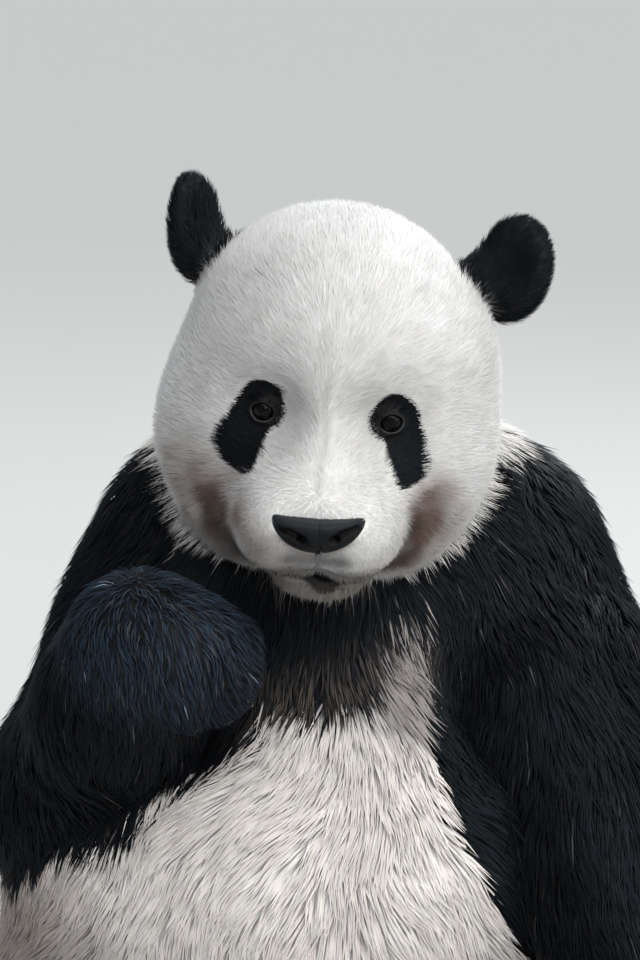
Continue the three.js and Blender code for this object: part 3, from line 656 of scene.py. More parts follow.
def pad_distance(P):
    out = np.full(P.shape[:-1], 60.0)
    for pads in PADS.values():
        near = length(P - pads[-1][0]) < 150
        if not near.any():
            continue
        p = P[near]
        d = np.full(len(p), 60.0)
        for at, ax, r in pads:
            L = (p - at) @ np.stack(ax, 1)
            a = L / r
            k0, k1 = length(a), length(a / r)
            d = np.minimum(d, k0 * (k0 - 1) / np.maximum(k1, 1e-9))
        out[near] = d
    return out


# ---------------------------------------------------------------- nose pad
NOSE_TILT = (0, -5, 0)
nose_lump = merged([
    ball((FACE_X + 1, -172, -46), (37.5, 23, 21), NOSE_TILT),
    ball((FACE_X + 3, -170, -54), (32.5, 25, 19), NOSE_TILT),
    ball((FACE_X - 18.5, -166, -46.5), (19, 23, 19), NOSE_TILT),
    ball((FACE_X + 20.5, -166, -43.5), (19, 23, 19), NOSE_TILT),
], 8.0)


def nose_axes(Q):
    """Along the pad's own width and height, from its middle."""
    return (Q - A([FACE_X + 2.5, 0, -52])) @ rot(*NOSE_TILT)


def nose_body(Q):
    L = nose_axes(Q)
    return soft_cut(nose_lump(Q), 10.4 + 0.0012 * L[..., 0] ** 2 - 0.045 * L[..., 0] - L[..., 2], 4.5)


def nose_shape(Q):
    d = nose_body(Q)
    L = nose_axes(Q)
    # a comma on each side: a round opening low and near the middle, and a slit that curls up and out
    for s in (-1, 1):
        hole = bone((s * 12.0, -204, -5.5), (s * 15.5, -185, -3.5), 6.0, 1.0)(L)
        slit = merged([bone((s * 15.0, -194, -4.0), (s * 22.5, -192, 0.2), 5.0, 4.2),
                       bone((s * 22.5, -192, 0.2), (s * 30.5, -185, 4.0), 4.2, 2.6)], 3.0)(L)
        d = soft_cut(d, soft(hole, slit, 3.5), 3.5)
    # the groove down the middle, deeper below
    g = 0.5 + 1.5 * smooth((-1 - L[..., 2]) / 12)
    groove = np.hypot(L[..., 0] - 0.5, nose_body(Q) * 0.9) - g
    return soft_cut(d, groove, 1.6)


# ---------------------------------------------------------------- lids, lips and folds
def lid_axes(s):
    gaze = unit(A([s * 0.20, -0.975, 0.02]))
    tilt = radians(-19 if s < 0 else -13) * s
    out = A([cos(tilt), 0, sin(tilt)]) * s                  # away from the nose, and down
    out = unit(out - gaze * (out @ gaze))
    up = unit(np.cross(gaze, out)) * (1 if s < 0 else -1)
    return gaze, out, up if up[2] > 0 else -up


LIDS = {s: lid_axes(s) for s in (-1, 1)}
LID_R = EYE_R + 1.6
OPEN_W, OPEN_UP, OPEN_DOWN = 9.6, 7.4, 8.8       # half width, and heights over and under the corners' line


def opening(Q, s):
    """Distance to the edge of the eye's opening, negative inside, and how far down it."""
    gaze, out, up = LIDS[s]
    q = Q - EYE[s]
    a, b = q @ out, q @ up
    ru, rd = (OPEN_W ** 2 + OPEN_UP ** 2) / (2 * OPEN_UP), (OPEN_W ** 2 + OPEN_DOWN ** 2) / (2 * OPEN_DOWN)
    upper = np.hypot(a - 0.6, b + ru - OPEN_UP) - ru
    lower = np.hypot(a + 0.6, b - rd + OPEN_DOWN) - rd
    return np.maximum(upper, lower), a, b


MOUTH_AT = A([3.0, -132.0, -88.0])


def lip_gap(Q):
    """Zero where the lip pads meet the chin, and how far to either side."""
    return (chin(Q) - skull(Q)) * 0.5


def by_mouth(Q, reach=72.0):
    return length(Q - MOUTH_AT) < reach


def fine(P, base):
    """The skin with its lids, lips, folds and pads, from its plain distance."""
    Q = to_head(P)
    S = base
    for s in (-1, 1):
        gaze, out, up = LIDS[s]
        q = Q - EYE[s]
        r = length(q)
        near = r < 30
        edge, a, b = opening(Q, s)
        lid = r - LID_R - 0.5 * np.exp(-((edge - 1.2) / 1.3) ** 2)
        fold = 1.3 * np.exp(-((b - 0.30 * a - 9.2 - 0.0) / 1.3) ** 2) * smooth((12.5 - np.abs(a)) / 5)
        fold = fold + 0.8 * np.exp(-((b + 9.6 - 0.02 * a * a) / 1.2) ** 2) * smooth((11 - np.abs(a)) / 5)
        inner = np.exp(-(((a + OPEN_W + 2.0) / 3.2) ** 2 + (b / 1.6) ** 2)) * 1.3
        lidded = soft(S, lid, 5.0) + fold + inner
        cut = np.maximum(edge, (EYE_R - 1.6) - r)
        S = np.where(near, soft_cut(lidded, cut, 0.9), S)
    # the mouth is a slit along the line where the lips meet, widest in the middle
    x, y, z = Q[..., 0] - 3, Q[..., 1], Q[..., 2]
    g = lip_gap(Q)
    wide = 0.4 + 4.0 * np.exp(-((x - 8) / 10.0) ** 2)
    here = smooth((-92 - y) / 20) * smooth((66 - np.abs(x)) / 14) * by_mouth(Q)
    slit = np.abs(g) - wide
    lip = 1.5 * np.exp(-((np.abs(g) - wide - 2.4) / 2.4) ** 2) * here
    depth = 2.5 + 9.0 * np.exp(-((x - 8) / 16) ** 2)
    S1 = S - lip
    cut = np.maximum(slit, -(base + depth))
    S = S1 + (soft_cut(S1, cut, 1.4) - S1) * here
    # the line from the nose to the lip
    p = rod(Q[..., [0, 2]], (FACE_X + 3, -66), (FACE_X + 3.6, -88), 0.9, 1.3)
    S = S + 2.6 * np.exp(-(np.maximum(p, 0) / 1.5) ** 2) * (y < -140) * by_mouth(Q)
    # soles and palms
    pad = pad_distance(P)
    S = np.where(pad < 30, soft(S, pad, 5.0), S)
    return S


def base_skin(P):
    return skin(P)


def face_size(P):
    """How long the skin's edges are, by place."""
    Q = to_head(P)
    h = np.full(len(P), 10.0)
    rn = length(Q - NOSE_TIP)
    h = np.where(rn < 190, 3.4 + 3.2 * smooth((rn - 90) / 90), h)
    h = np.where(rn < 75, 2.6, h)
    for s in (-1, 1):
        r = length(Q - EYE[s])
        h = np.where(r < 34, np.minimum(h, 0.75 + 1.6 * smooth((r - 17) / 14)), h)
    front = (Q[..., 1] < -88) & (np.abs(Q[..., 0] - 3) < 70) & (Q[..., 2] < -55) & by_mouth(Q, 80)
    g = np.abs(lip_gap(Q))
    h = np.where(front, np.minimum(h, 0.9 + 1.8 * smooth((g - 6) / 6)), h)
    h = np.where((np.abs(Q[..., 0] - FACE_X - 3) < 7) & (Q[..., 1] < -140) & (Q[..., 2] < -55) & by_mouth(Q, 80), np.minimum(h, 1.0), h)
    pad = pad_distance(P)
    h = np.where(pad < 12, np.minimum(h, 2.6), h)
    h = np.where(pad < 45, np.minimum(h, 6.0), h)
    ear = np.minimum(length(Q - EARS[-1][0]), length(Q - EARS[1][0]))
    h = np.where(ear < 75, np.minimum(h, 6.0), h)
    return h


def build_skin():
    f = base_skin
    v, lo = sampled(f, (-440, -560, -16), (440, 400, 1010), 9.5)
    V, quads = net(v, lo, 9.5)
    V = settle(f, V, steps=2, most=5.0)
    T = triangles(V, quads)
    V, T = refine(V, T, face_size, f)
    V = settle(f, V, steps=1, most=2.0)
    # the fine features are heights over this surface, found along its own normals
    N = vertex_normals(V, T)
    Q = to_head(V)
    near = (length(Q - EYE[-1]) < 27) | (length(Q - EYE[1]) < 27)
    near |= (Q[:, 1] < -84) & (np.abs(Q[:, 0] - 3) < 74) & (Q[:, 2] < -55) & (np.abs(lip_gap(Q)) < 16) & by_mouth(Q, 76)
    near |= (np.abs(Q[:, 0] - FACE_X - 3) < 9) & (Q[:, 1] < -140) & (Q[:, 2] < -55) & by_mouth(Q, 76)
    near |= pad_distance(V) < 8
    idx = np.flatnonzero(near)
    P, n = V[idx], N[idx]
    steps = np.arange(15.0, -13.1, -0.7)
    prev = None
    t = np.zeros(len(idx))
    done = np.zeros(len(idx), bool)
    for i, s in enumerate(steps):
        todo = np.flatnonzero(~done)
        if not len(todo):
            break
        p = P[todo] + n[todo] * s
        val = fine(p, base_skin(p))
        if prev is not None:
            hit = (val < 0)
            was = prev[todo]
            w = np.where(hit, was / np.maximum(was - val, 1e-6), 0)
            t[todo[hit]] = (s + 0.7 - 0.7 * np.clip(w, 0, 1))[hit]
            done[todo[hit]] = True
        else:
            prev = np.zeros(len(idx))
            hit = val < 0
            t[todo[hit]] = s
            done[todo[hit]] = True
        prev[todo] = val
    V[idx] = P + n * t[:, None]
    V[:, 2] = np.maximum(V[:, 2], 0.8)                   # flat where the animal sits
    return V, T, N


SKIN_V, SKIN_T, SKIN_N = build_skin()
print("skin", len(SKIN_V), len(SKIN_T))


def skin_colours(V):
    w, d = body(V)
    Q = to_head(V)
    m = blackness(V, d)[:, None]
    c = whites(V, d) * 0.93 * (1 - m) + BLACK_COAT * 0.8 * m
    # bare skin: round the nose and mouth, the lids, and the pads
    x, y, z = Q[:, 0] - 3, Q[:, 1], Q[:, 2]
    bare = A([0.17, 0.145, 0.135])
    nose = nose_body(Q)
    near = (1 - smooth((nose - 1.0) / 5.0))[:, None] * 0.75 * smooth((-50 - z) / 12)[:, None]
    c = c + (bare - c) * near
    dark = A([0.006, 0.0045, 0.0045])
    # painted shadow: the skin under the nose pad is near black, so the bottoms of the nostrils look dark
    c = c + (A([0.001, 0.001, 0.001]) - c) * (1 - smooth((nose + 2.2) / 1.2))[:, None]
    g = np.abs(lip_gap(Q))
    mouth = (1 - smooth((g - 1.4 - 4.2 * np.exp(-((x - 8) / 12) ** 2)) / 2.5)) * smooth((-95 - y) / 16) * smooth((64 - np.abs(x)) / 12) * (z < -62) * by_mouth(Q)
    c = c + (dark - c) * mouth[:, None]
    lowlip = np.exp(-(((x - 16) / 30) ** 2)) * smooth((lip_gap(Q) * -1 - 3.2) / 2) * (1 - smooth((-lip_gap(Q) - 8) / 5)) * (y < -110) * (z < -70) * by_mouth(Q)
    c = c + (A([0.022, 0.016, 0.015]) - c) * (0.95 * lowlip)[:, None]
    # painted shade: inside the mouth's slit the skin darkens with its depth
    by = np.flatnonzero(by_mouth(Q) & (y < -100) & (z < -66) & (g < 16))
    inside = np.zeros(len(V))
    inside[by] = smooth((-1.0 - base_skin(V[by])) / 1.4)
    c = c + (A([0.003, 0.0022, 0.0022]) - c) * inside[:, None]
    p = rod(Q[:, [0, 2]], (FACE_X + 3, -66), (FACE_X + 3.6, -88), 0.9, 1.3)
    line = (1 - smooth(p / 2.2)) * (y < -140) * by_mouth(Q)
    c = c + (dark - c) * line[:, None]
    for s in (-1, 1):
        edge, a, b = opening(Q, s)
        r = length(Q - EYE[s])
        lid = (r < 20) & (y < EYE_Y + 6)
        c = np.where(lid[:, None], A([0.0055, 0.0052, 0.0060]), c)
        # painted reflection: the wet margin of the lids shines grey along its outer and lower arc
        rim = np.exp(-((edge - 0.45) / 0.6) ** 2) * lid * smooth((1.0 - b + 0.75 * a) / 7)
        c = c + (A([0.085, 0.082, 0.088]) - c) * (0.8 * rim)[:, None]
    pad = pad_distance(V)
    k = (1 - smooth((pad + 0.6) / 1.6))[:, None]
    c = c + (A([0.020, 0.017, 0.017]) - c) * k
    return np.clip(c, 0.001, 1)


skin_obj = to_mesh("skin", SKIN_V, SKIN_T, colours=skin_colours(SKIN_V))

# ---------------------------------------------------------------- nose pad
def build_nose():
    f = lambda P: nose_shape(to_head(P))
    c = from_head(A([FACE_X + 2, -172, -52]))
    h = 1.25
    v, lo = sampled(f, c - A([46, 44, 34]), c + A([46, 40, 34]), h)
    V, quads = net(v, lo, h)
    V = settle(f, V, steps=2, most=0.8)
    T = triangles(V, quads)
    Q = to_head(V)
    L = nose_axes(Q)
    plain = nose_body(Q)
    # painted shade: the nostrils darken with their depth into the pad
    deep = smooth((-plain - 0.7) / 3.2)[:, None]
    c = A([0.0055, 0.0062, 0.0078]) * (1 + 0.25 * waves(Q, 9, 61) + 0.2 * waves(Q, 3, 62))[:, None]
    # the top of the pad lighter and bluer: painted sheen from the light above, and the short hairs over its upper edge
    top = smooth((L[:, 2] - 2) / 8)[:, None]
    c = c + (A([0.020, 0.023, 0.028]) - c) * top * 0.8
    c = c * (1 - 0.96 * deep)
    return to_mesh("nose_pad", V, T, colours=np.clip(c, 0.001, 1))


nose_obj = build_nose()


# ---------------------------------------------------------------- eyes
def build_eye(s):
    """An eyeball with its cornea standing a little proud, and an iris inside the colour of dark chestnut."""
    gaze = unit(A([s * 0.07, -0.99, 0.03]))
    side = unit(np.cross(gaze, A([0, 0, 1.0])))
    up = np.cross(side, gaze)
    rings, n = 40, 56
    pts, cols = [], []
    for i in range(1, rings):
        t = pi * i / rings
        a = np.arange(n) * 2 * pi / n
        r = EYE_R - 0.15
        cornea = 0.9 * smooth((0.62 - t) / 0.32)
        rr = r + cornea
        pts.append(gaze * cos(t) * rr + (side * np.cos(a)[:, None] + up * np.sin(a)[:, None]) * sin(t) * rr)
        iris = smooth((0.60 - t) / 0.05)
        pupil = smooth((0.24 - t) / 0.05)
        ray = 0.5 + 0.5 * np.sin(a * 23 + 2.0 * np.sin(a * 5))
        brown = A([0.0030, 0.0020, 0.0015]) * (0.6 + 0.7 * ray[:, None]) * (0.55 + 0.45 * smooth((0.55 - t) / 0.2))
        white = A([0.0045, 0.0040, 0.0038])
        c = white + (brown - white) * iris
        c = c * (1 - pupil) + A([0.0015, 0.0013, 0.0015]) * pupil
        cols.append(np.broadcast_to(c, (n, 3)))
    V = np.concatenate(pts + [gaze[None] * (EYE_R + 0.75), -gaze[None] * EYE_R])
    C = np.concatenate(cols + [A([[0.0015, 0.0013, 0.0015]]), A([[0.06, 0.05, 0.045]])])
    T = []
    for i in range(rings - 2):
        a = i * n + np.arange(n)
        b = i * n + (np.arange(n) + 1) % n
        T += [np.stack([a, a + n, b], 1), np.stack([b, a + n, b + n], 1)]
    top, end = (rings - 1) * n, (rings - 1) * n + 1
    a, b = np.arange(n), (np.arange(n) + 1) % n
    T += [np.stack([np.full(n, top), a, b], 1)]
    a, b = a + (rings - 2) * n, b + (rings - 2) * n
    T += [np.stack([np.full(n, end), b, a], 1)]
    T = np.concatenate(T)
    V = from_head(EYE[s] + V)
    nrm = np.cross(V[T[:, 1]] - V[T[:, 0]], V[T[:, 2]] - V[T[:, 0]])
    if (nrm * (V[T[:, 0]] - from_head(EYE[s]))).sum() < 0:
        T = T[:, ::-1]
    return to_mesh("eyeball_" + ("right" if s < 0 else "left"), V, T, colours=C)


eye_objs = {s: build_eye(s) for s in (-1, 1)}


# ---------------------------------------------------------------- claws
def build_claws():
    """Curved claws of horn, one to a toe, oval in section and pointed."""
    VV, TT, CC = [], [], []
    n, m = 12, 9
    off = 0
    for toes, ax in [(TOES[-1], PAW[-1]), (TOES[1], PAW[1]), (FOOT_TOES[-1], FOOT[-1]), (FOOT_TOES[1], FOOT[1])]:
        way, across, back = ax
        for k, (a, b, r) in enumerate(toes):
            curled = toes is TOES[-1]
            w = unit(way - (0.9 if curled else 0.35) * back)
            bk = unit(back - w * (back @ w))
            ac = np.cross(w, bk)
            base = b + w * r * 0.35
            L = (22.0 if curled else 32.0) - 1.0 * abs(k - 2)
            for i in range(m + 1):
                t = i / m
                rad = 5.6 * (1 - t) ** 0.75 + 0.35
                at = base + w * L * t * (1 - 0.06 * t) - bk * 0.30 * L * t * t
                ang = np.arange(n) * 2 * pi / n
                VV.append(at + ac * (np.cos(ang) * rad * 0.72)[:, None] + bk * (np.sin(ang) * rad)[:, None])
                tone = A([0.090, 0.070, 0.052]) * (1 - t) + A([0.26, 0.225, 0.18]) * t
                CC.append(np.broadcast_to(tone, (n, 3)) * (1 + 0.12 * np.sin(ang * 3 + k))[:, None])
            VV.append((base + w * L * 0.95 - bk * 0.30 * L)[None])
            CC.append(A([[0.30, 0.27, 0.22]]))
            VV.append((base - w * 2)[None])
            CC.append(A([[0.09, 0.07, 0.05]]))
            for i in range(m):
                p, q = off + i * n + np.arange(n), off + i * n + (np.arange(n) + 1) % n
                TT += [np.stack([p, q, p + n], 1), np.stack([q, q + n, p + n], 1)]
            tip, root = off + (m + 1) * n, off + (m + 1) * n + 1
            p, q = off + m * n + np.arange(n), off + m * n + (np.arange(n) + 1) % n
            TT.append(np.stack([p, q, np.full(n, tip)], 1))
            p, q = off + np.arange(n), off + (np.arange(n) + 1) % n
            TT.append(np.stack([q, p, np.full(n, root)], 1))
            off += (m + 1) * n + 2
    V, T, C = np.concatenate(VV), np.concatenate(TT), np.concatenate(CC)
    one = T[: n * m * 2 + 2 * n]
    nrm = np.cross(V[one[:, 1]] - V[one[:, 0]], V[one[:, 2]] - V[one[:, 0]])
    mid = V[: (m + 1) * n].mean(0)
    if (nrm * (V[one].mean(1) - mid)).sum() < 0:
        T = T[:, ::-1]
    return to_mesh("claws", V, T, colours=C)


claw_obj = build_claws()


# ---------------------------------------------------------------- how the coat lies
def along_bones(P, bones):
    """The way of the nearest bone, how far along them all, and how far off."""
    best = np.full(len(P), 1e9)
    way, run = np.zeros_like(P), np.zeros(len(P))
    foot = np.zeros_like(P)
    s0 = 0.0
    for a, b, ra, rb in bones:
        a, b = A(a, float), A(b, float)
        ab = b - a
        l = np.linalg.norm(ab)
        t = np.clip((P - a) @ ab / l ** 2, 0, 1)
        c = a + t[:, None] * ab
        r = length(P - c) - (ra + (rb - ra) * t)
        m = r < best
        best = np.where(m, r, best)
        way = np.where(m[:, None], ab / l, way)
        foot = np.where(m[:, None], c, foot)
        run = np.where(m, s0 + t * l, run)
        s0 += l
    return way, run, best, foot


LEG_BONES = {s: [(mirror(HIP, s), mirror(KNEE, s), 150, 104), (mirror(KNEE, s), mirror(ANKLE, s), 102, 64),
                 (mirror(ANKLE, s), mirror(SOLE, s), 62, 50), (mirror(SOLE, s), (s * 334, -456, 230), 50, 40)] for s in (-1, 1)}
PAW_BONES = {s: ARM_BONES[s] + [(WRIST[s], PALM[s], 62, 54),
                                (PALM[s], tuple(A(PALM[s]) + PAW[s][0] * 60), 54, 40)] for s in (-1, 1)}
DOWN = A([0, 0, -1.0])


def flow(P, n, w):
    """The way the coat lies, along the surface."""
    Q = to_head(P)
    x, y, z = Q[:, 0], Q[:, 1], Q[:, 2]
    # head: away from the nose and from between the eyes, back over the crown, down at the nape and the jaw
    v = Q - A([2.5, -168, -30])
    v = unit(v)
    v[:, 0] += 0.55 * np.tanh((x - 2.5) / 34) * smooth((z + 20) / 60) * smooth((-y - 20) / 60) * (1 - smooth((z - 90) / 60))
    v[:, 2] += -0.9 * smooth((y - 30) / 90) - 0.5 * smooth((-z - 20) / 70)
    v[:, 0] += 0.35 * np.sign(x) * smooth((np.abs(x) - 50) / 50) * smooth((-z) / 60)
    head = unit(v) @ HEAD_M.T
    # trunk: down, and outwards from the middle line of the belly
    px, py, pz = P[:, 0], P[:, 1], P[:, 2]
    belly = smooth((-py - 40) / 80) * smooth((560 - pz) / 120)
    trunk = np.stack([0.75 * np.tanh((px - 10) / 110) * belly + 0.12 * np.tanh(px / 120), 0.30 * smooth((py - 60) / 100) * smooth((200 - pz) / 150) - 0.1 * belly,
                      -np.ones(len(P))], -1)
    legs = [unit(along_bones(P, LEG_BONES[s])[0] + 0.35 * DOWN) for s in (-1, 1)]
    tail = np.broadcast_to(A([0, 0.25, -1.0]), P.shape)
    arm_r = 0.55 * along_bones(P, PAW_BONES[-1])[0] + 0.75 * DOWN
    away = P - A([-160.0, -196, 672])
    top = (1 - smooth((length(away) - 100) / 110))[:, None]
    arm_r = arm_r + (unit(away) * 1.5 + 0.5 * DOWN - arm_r) * top
    arm_l = along_bones(P, PAW_BONES[1])[0] + 0.28 * DOWN
    ears_v = np.zeros_like(P)
    near = np.full(len(P), 1e9)
    for s in (-1, 1):
        at = EARS[s][0]
        root = at * 0.62 + A([0, 10, 10])
        dq = Q - root
        dist = length(Q - at)
        m = dist < near
        near = np.where(m, dist, near)
        ears_v = np.where(m[:, None], unit(dq) @ HEAD_M.T, ears_v)
    each = [trunk, legs[0], legs[1], tail, unit(arm_r), unit(arm_l), head, ears_v]
    v = sum(unit(e) * w[i][:, None] for i, e in enumerate(each))
    v = v - n * (v * n).sum(-1, keepdims=True)
    l = length(v)
    v = np.where((l < 0.08)[:, None], np.cross(n, A([1.0, 0.2, 0.1])), v)
    return unit(v)


def turned_about(v, n, a):
    """v turned about n by a radians, n and v unit and square to each other."""
    return v * np.cos(a)[:, None] + np.cross(n, v) * np.sin(a)[:, None]


# ---------------------------------------------------------------- tufts
def spacing_at(P, label):
    Q = to_head(P)
    if label == 6:
        rn = length(Q - NOSE_TIP)
        eye = np.minimum(length(Q - EYE[-1]), length(Q - EYE[1]))
        s = 1.15 + 0.50 * smooth((rn - 60) / 110)
        s = np.where(eye < 40, np.minimum(s, 1.25), s)
        return s + 1.6 * smooth((Q[:, 1] - 0) / 60)
    if label == 7:
        return np.full(len(P), 1.75)
    front = smooth((P[:, 1] + 20) / 120)
    if label == 0:
        return 3.3 + 1.5 * front
    if label in (1, 2):
        return 4.3 + 0.6 * front
    if label in (4, 5):
        return 3.75 + 0.9 * smooth((P[:, 1] - 20) / 90)
    return np.full(len(P), 3.6)


def sizes_at(P, Q, label):
    """Length and width of a tuft, and how far its tip may stand past the coat's outside."""
    n = len(P)
    if label == 6:
        rn = length(Q - NOSE_TIP)
        eye = np.minimum(length(Q - EYE[-1]), length(Q - EYE[1]))
        L = 5.6 + 11.0 * smooth((rn - 24) / 115)
        side = smooth((np.abs(Q[:, 0]) - 62) / 50) * smooth((20 - Q[:, 2]) / 70)
        L = L + 7 * side * smooth((Q[:, 1] + 80) / 60) + 20 * smooth((Q[:, 1] - 10) / 75)
        L = L * (0.35 + 0.65 * smooth((eye - 15) / 24))
        L = L * (0.62 + 0.38 * smooth((np.abs(patch_distance(Q)) - 4) / 14))
        beard = smooth((3 - lip_gap(Q)) / 4) * by_mouth(Q, 90.0) * smooth((-88 - Q[:, 2]) / 14)
        W = 0.52 + (0.027 + 0.012 * smooth((Q[:, 1] - 0) / 60)) * L
        L = L + 9 * beard
        return L, W, 0.6 + 0.05 * L + 3.0 * beard
    if label == 7:
        return np.full(n, 15.0), np.full(n, 1.25), np.full(n, 1.5)
    L, W = np.full(n, 46.0), np.full(n, 1.9)
    if label in (1, 2):
        s = -1 if label == 1 else 1
        k = smooth((length(P - A(mirror(SOLE, s), float)) - 60) / 150)
        return 15 + 25 * k, 1.4 + 0.5 * k, np.full(n, 2.0)
    if label in (4, 5):
        s = -1 if label == 4 else 1
        k = smooth((length(P - A(PALM[s], float)) - 55) / 110)
        return 19 + 25 * k, 1.3 + 0.45 * k, 1.5 + 2.0 * k
    return L, W, np.full(n, 2.5)


def scatter(V, T, label, g):
    """Roots spread evenly over the skin's triangles."""
    tri = V[T]
    mid = tri.mean(1)
    area = length(np.cross(tri[:, 1] - tri[:, 0], tri[:, 2] - tri[:, 0])) / 2
    want = area / (spacing_at(mid, label) * SPACING) ** 2
    # neighbours in space come one after another, so that none is left out
    k = np.floor(mid / 8.0).astype(np.int64) + 1024
    order = np.lexsort((k[:, 0], np.where(k[:, 0] % 2, k[:, 1], -k[:, 1]), k[:, 2]))
    T, want = T[order], want[order]
    cum = np.cumsum(want)
    total = int(cum[-1])
    at = (np.arange(total) + g.uniform(0, 1, total) * 0.9) * (cum[-1] / total)
    i = np.searchsorted(cum, at)
    i = np.minimum(i, len(T) - 1)
    seq = np.arange(total)
    u, v = (0.5 + seq * 0.7548776662) % 1, (0.5 + seq * 0.5698402910) % 1
    u, v = (u + g.uniform(-0.1, 0.1, total)) % 1, (v + g.uniform(-0.1, 0.1, total)) % 1
    over = u + v > 1
    u, v = np.where(over, 1 - u, u), np.where(over, 1 - v, v)
    a, b, c = V[T[i, 0]], V[T[i, 1]], V[T[i, 2]]
    return a + (b - a) * u[:, None] + (c - a) * v[:, None]


def locks(P, cell, seed):
    """A number for the lock that each root belongs to: cells of uneven shape."""
    q = P + waves3(P, cell * 3, seed) * cell * 0.6
    q = q @ rot(31, 17, 43)
    k = np.floor(q / cell).astype(np.int64) + 4096
    _, inv = np.unique((k[:, 0] * 8192 + k[:, 1]) * 8192 + k[:, 2], return_inverse=True)
    return inv.ravel()


def gather(P, tip, lock, pull, keep=0.35):
    """Tips drawn towards the middle of their lock."""
    n = lock.max() + 1
    cnt = np.bincount(lock, minlength=n)[:, None]
    mean = lambda X: np.stack([np.bincount(lock, X[:, j], n) for j in range(3)], 1) / cnt
    mp, mt = mean(P), mean(tip)
    goal = mt[lock] + (P - mp[lock]) * keep
    return tip + (goal - tip) * pull[:, None]


def label_of(P, d):
    return np.argmin(np.stack([d[0] + 4, d[1], d[2], d[3] + 2, d[4], d[5], d[6] + 1, d[7] - 3], 0), 0)


def comb(P, label, g):
    """Tufts for roots P: the root, middle and tip of each, its up, its width and its colour."""
    w_, d = body(P)
    Q = to_head(P)
    n = unit(by_block(lambda p: slope(coat, p), P))
    w = shares(d, 12.0)
    N = len(P)
    D = np.maximum(-w_, 0.8)
    L, W, proud = sizes_at(P, Q, label)
    short = label in (6, 7)
    fine_scale = 0.45 if label == 6 else 0.6 if label == 7 else 1.0
    v = flow(P, n, w)
    loose = 1.0 if short else 1.5
    swirl = (waves(P, 95 * fine_scale, 70 + label) * 0.20 + waves(P, 34 * fine_scale, 80 + label) * 0.14) * loose
    lock = locks(P, 15.0 * fine_scale * (0.55 if label == 6 else 1.0), 90 + label)
    big = locks(P, 44.0 * fine_scale, 190 + label)
    swirl = swirl + (g.normal(0, 0.13, lock.max() + 1))[lock] + g.normal(0, 0.11, N)
    v = turned_about(v, n, swirl)
    L = L * np.exp(g.normal(0, 0.16, N)) * (1 + 0.10 * g.normal(0, 1, lock.max() + 1)[lock])
    lay = np.clip(D / L, 0.05, 0.85)
    reach = L * np.sqrt(1 - lay ** 2)
    tip = P + v * reach[:, None] + n * D[:, None]
    pull = np.clip(g.normal(0.42 if not short else 0.30, 0.12, N), 0, 0.8)
    tip = gather(P, tip, big, pull * 0.30, 0.8)
    tip = gather(P, tip, lock, pull, 0.40)
    # the tip's height under or over the coat's outside
    h = -D * np.abs(g.normal(0, 0.14, N)) + proud * 0.25 * g.normal(0, 1, N)
    h = h + (g.uniform(0, 1, N) < 0.035) * proud * g.uniform(0.5, 1.6, N)
    lift = (g.normal(0, 0.10, lock.max() + 1)[lock]) * D
    target = h + np.minimum(lift, 0.06 * D)
    tip = by_block(lambda X: settle_to(X[:, :3], X[:, 3], 2, 10.0), np.concatenate([tip, target[:, None]], 1))
    t = tip - P
    l = length(t)
    t = t * (np.clip(l, 0.55 * L, 1.15 * L) / np.maximum(l, 1e-6))[:, None]
    tip = P + t
    mid = P + t * 0.48 + n * (D * 0.26 * np.clip(1 - (t * n).sum(1) / np.maximum(l, 1e-6), 0.2, 1))[:, None]
    tip[:, 2] = np.maximum(tip[:, 2], 0.6)
    mid[:, 2] = np.maximum(mid[:, 2], 0.8)
    # colour
    Pc = P + (tip - P) * (0.8 if label == 6 else 0.65)
    dc = body(Pc)[1]
    b = blackness(Pc, dc, label) if label != 7 else np.ones(N)
    soft_edge = 0.16 if label == 6 else 0.24
    black = b > np.clip(0.5 + g.normal(0, soft_edge, N), 0.03, 0.97)
    tone = np.exp(g.normal(0, 0.05, N) + 0.04 * g.normal(0, 1, lock.max() + 1)[lock])
    white = whites(Pc, dc) * tone[:, None]
    white = white * (1 + g.normal(0, 0.015, (N, 3)))
    ink = BLACK_COAT * np.exp(g.normal(0, 0.35, N))[:, None]
    rust = (g.uniform(0, 1, N) < 0.10)[:, None]
    ink = np.where(rust, ink * A([2.4, 1.7, 1.2]), ink)
    grey = (g.uniform(0, 1, N) < 0.006) & (label not in (6, 7))
    ink = np.where(grey[:, None], A([0.06, 0.057, 0.057]), ink)
    if label == 0:                                       # brown hairs mixed in over the top of the belly
        low = 513 + 0.27 * np.clip(Pc[:, 0], -60, 60)
        k = np.exp(-((Pc[:, 2] - low - 20) / 20) ** 2) * smooth((100 - np.abs(Pc[:, 0] - 10)) / 40) * (Pc[:, 1] < -40)
        k = k * smooth((g.uniform(0, 1, N) - 0.25) / 0.5)
        ink = ink + k[:, None] * A([0.085, 0.068, 0.056])
    if label == 4:                                       # painted sheen: the raised paw is paler and bluer, as the sky's light makes it
        k = 1 - smooth((length(Pc - A([-140.0, -250, 634])) - 58) / 70)
        ink = ink * (1 + k[:, None] * A([3.0, 4.4, 5.4]))
    c = np.where(black[:, None], ink, white)
    return dict(P=P, n=n, mid=mid, tip=tip, W=W * np.exp(g.normal(0, 0.18, N)), c=c, black=black, L=L)


def settle_to(P, level, steps, most):
    for _ in range(steps):
        g = slope(coat, P, 1.0)
        m = -(coat(P) - level) / np.maximum((g * g).sum(-1), 0.16)
        P = P + g * np.clip(m, -most, most)[:, None]
    return P


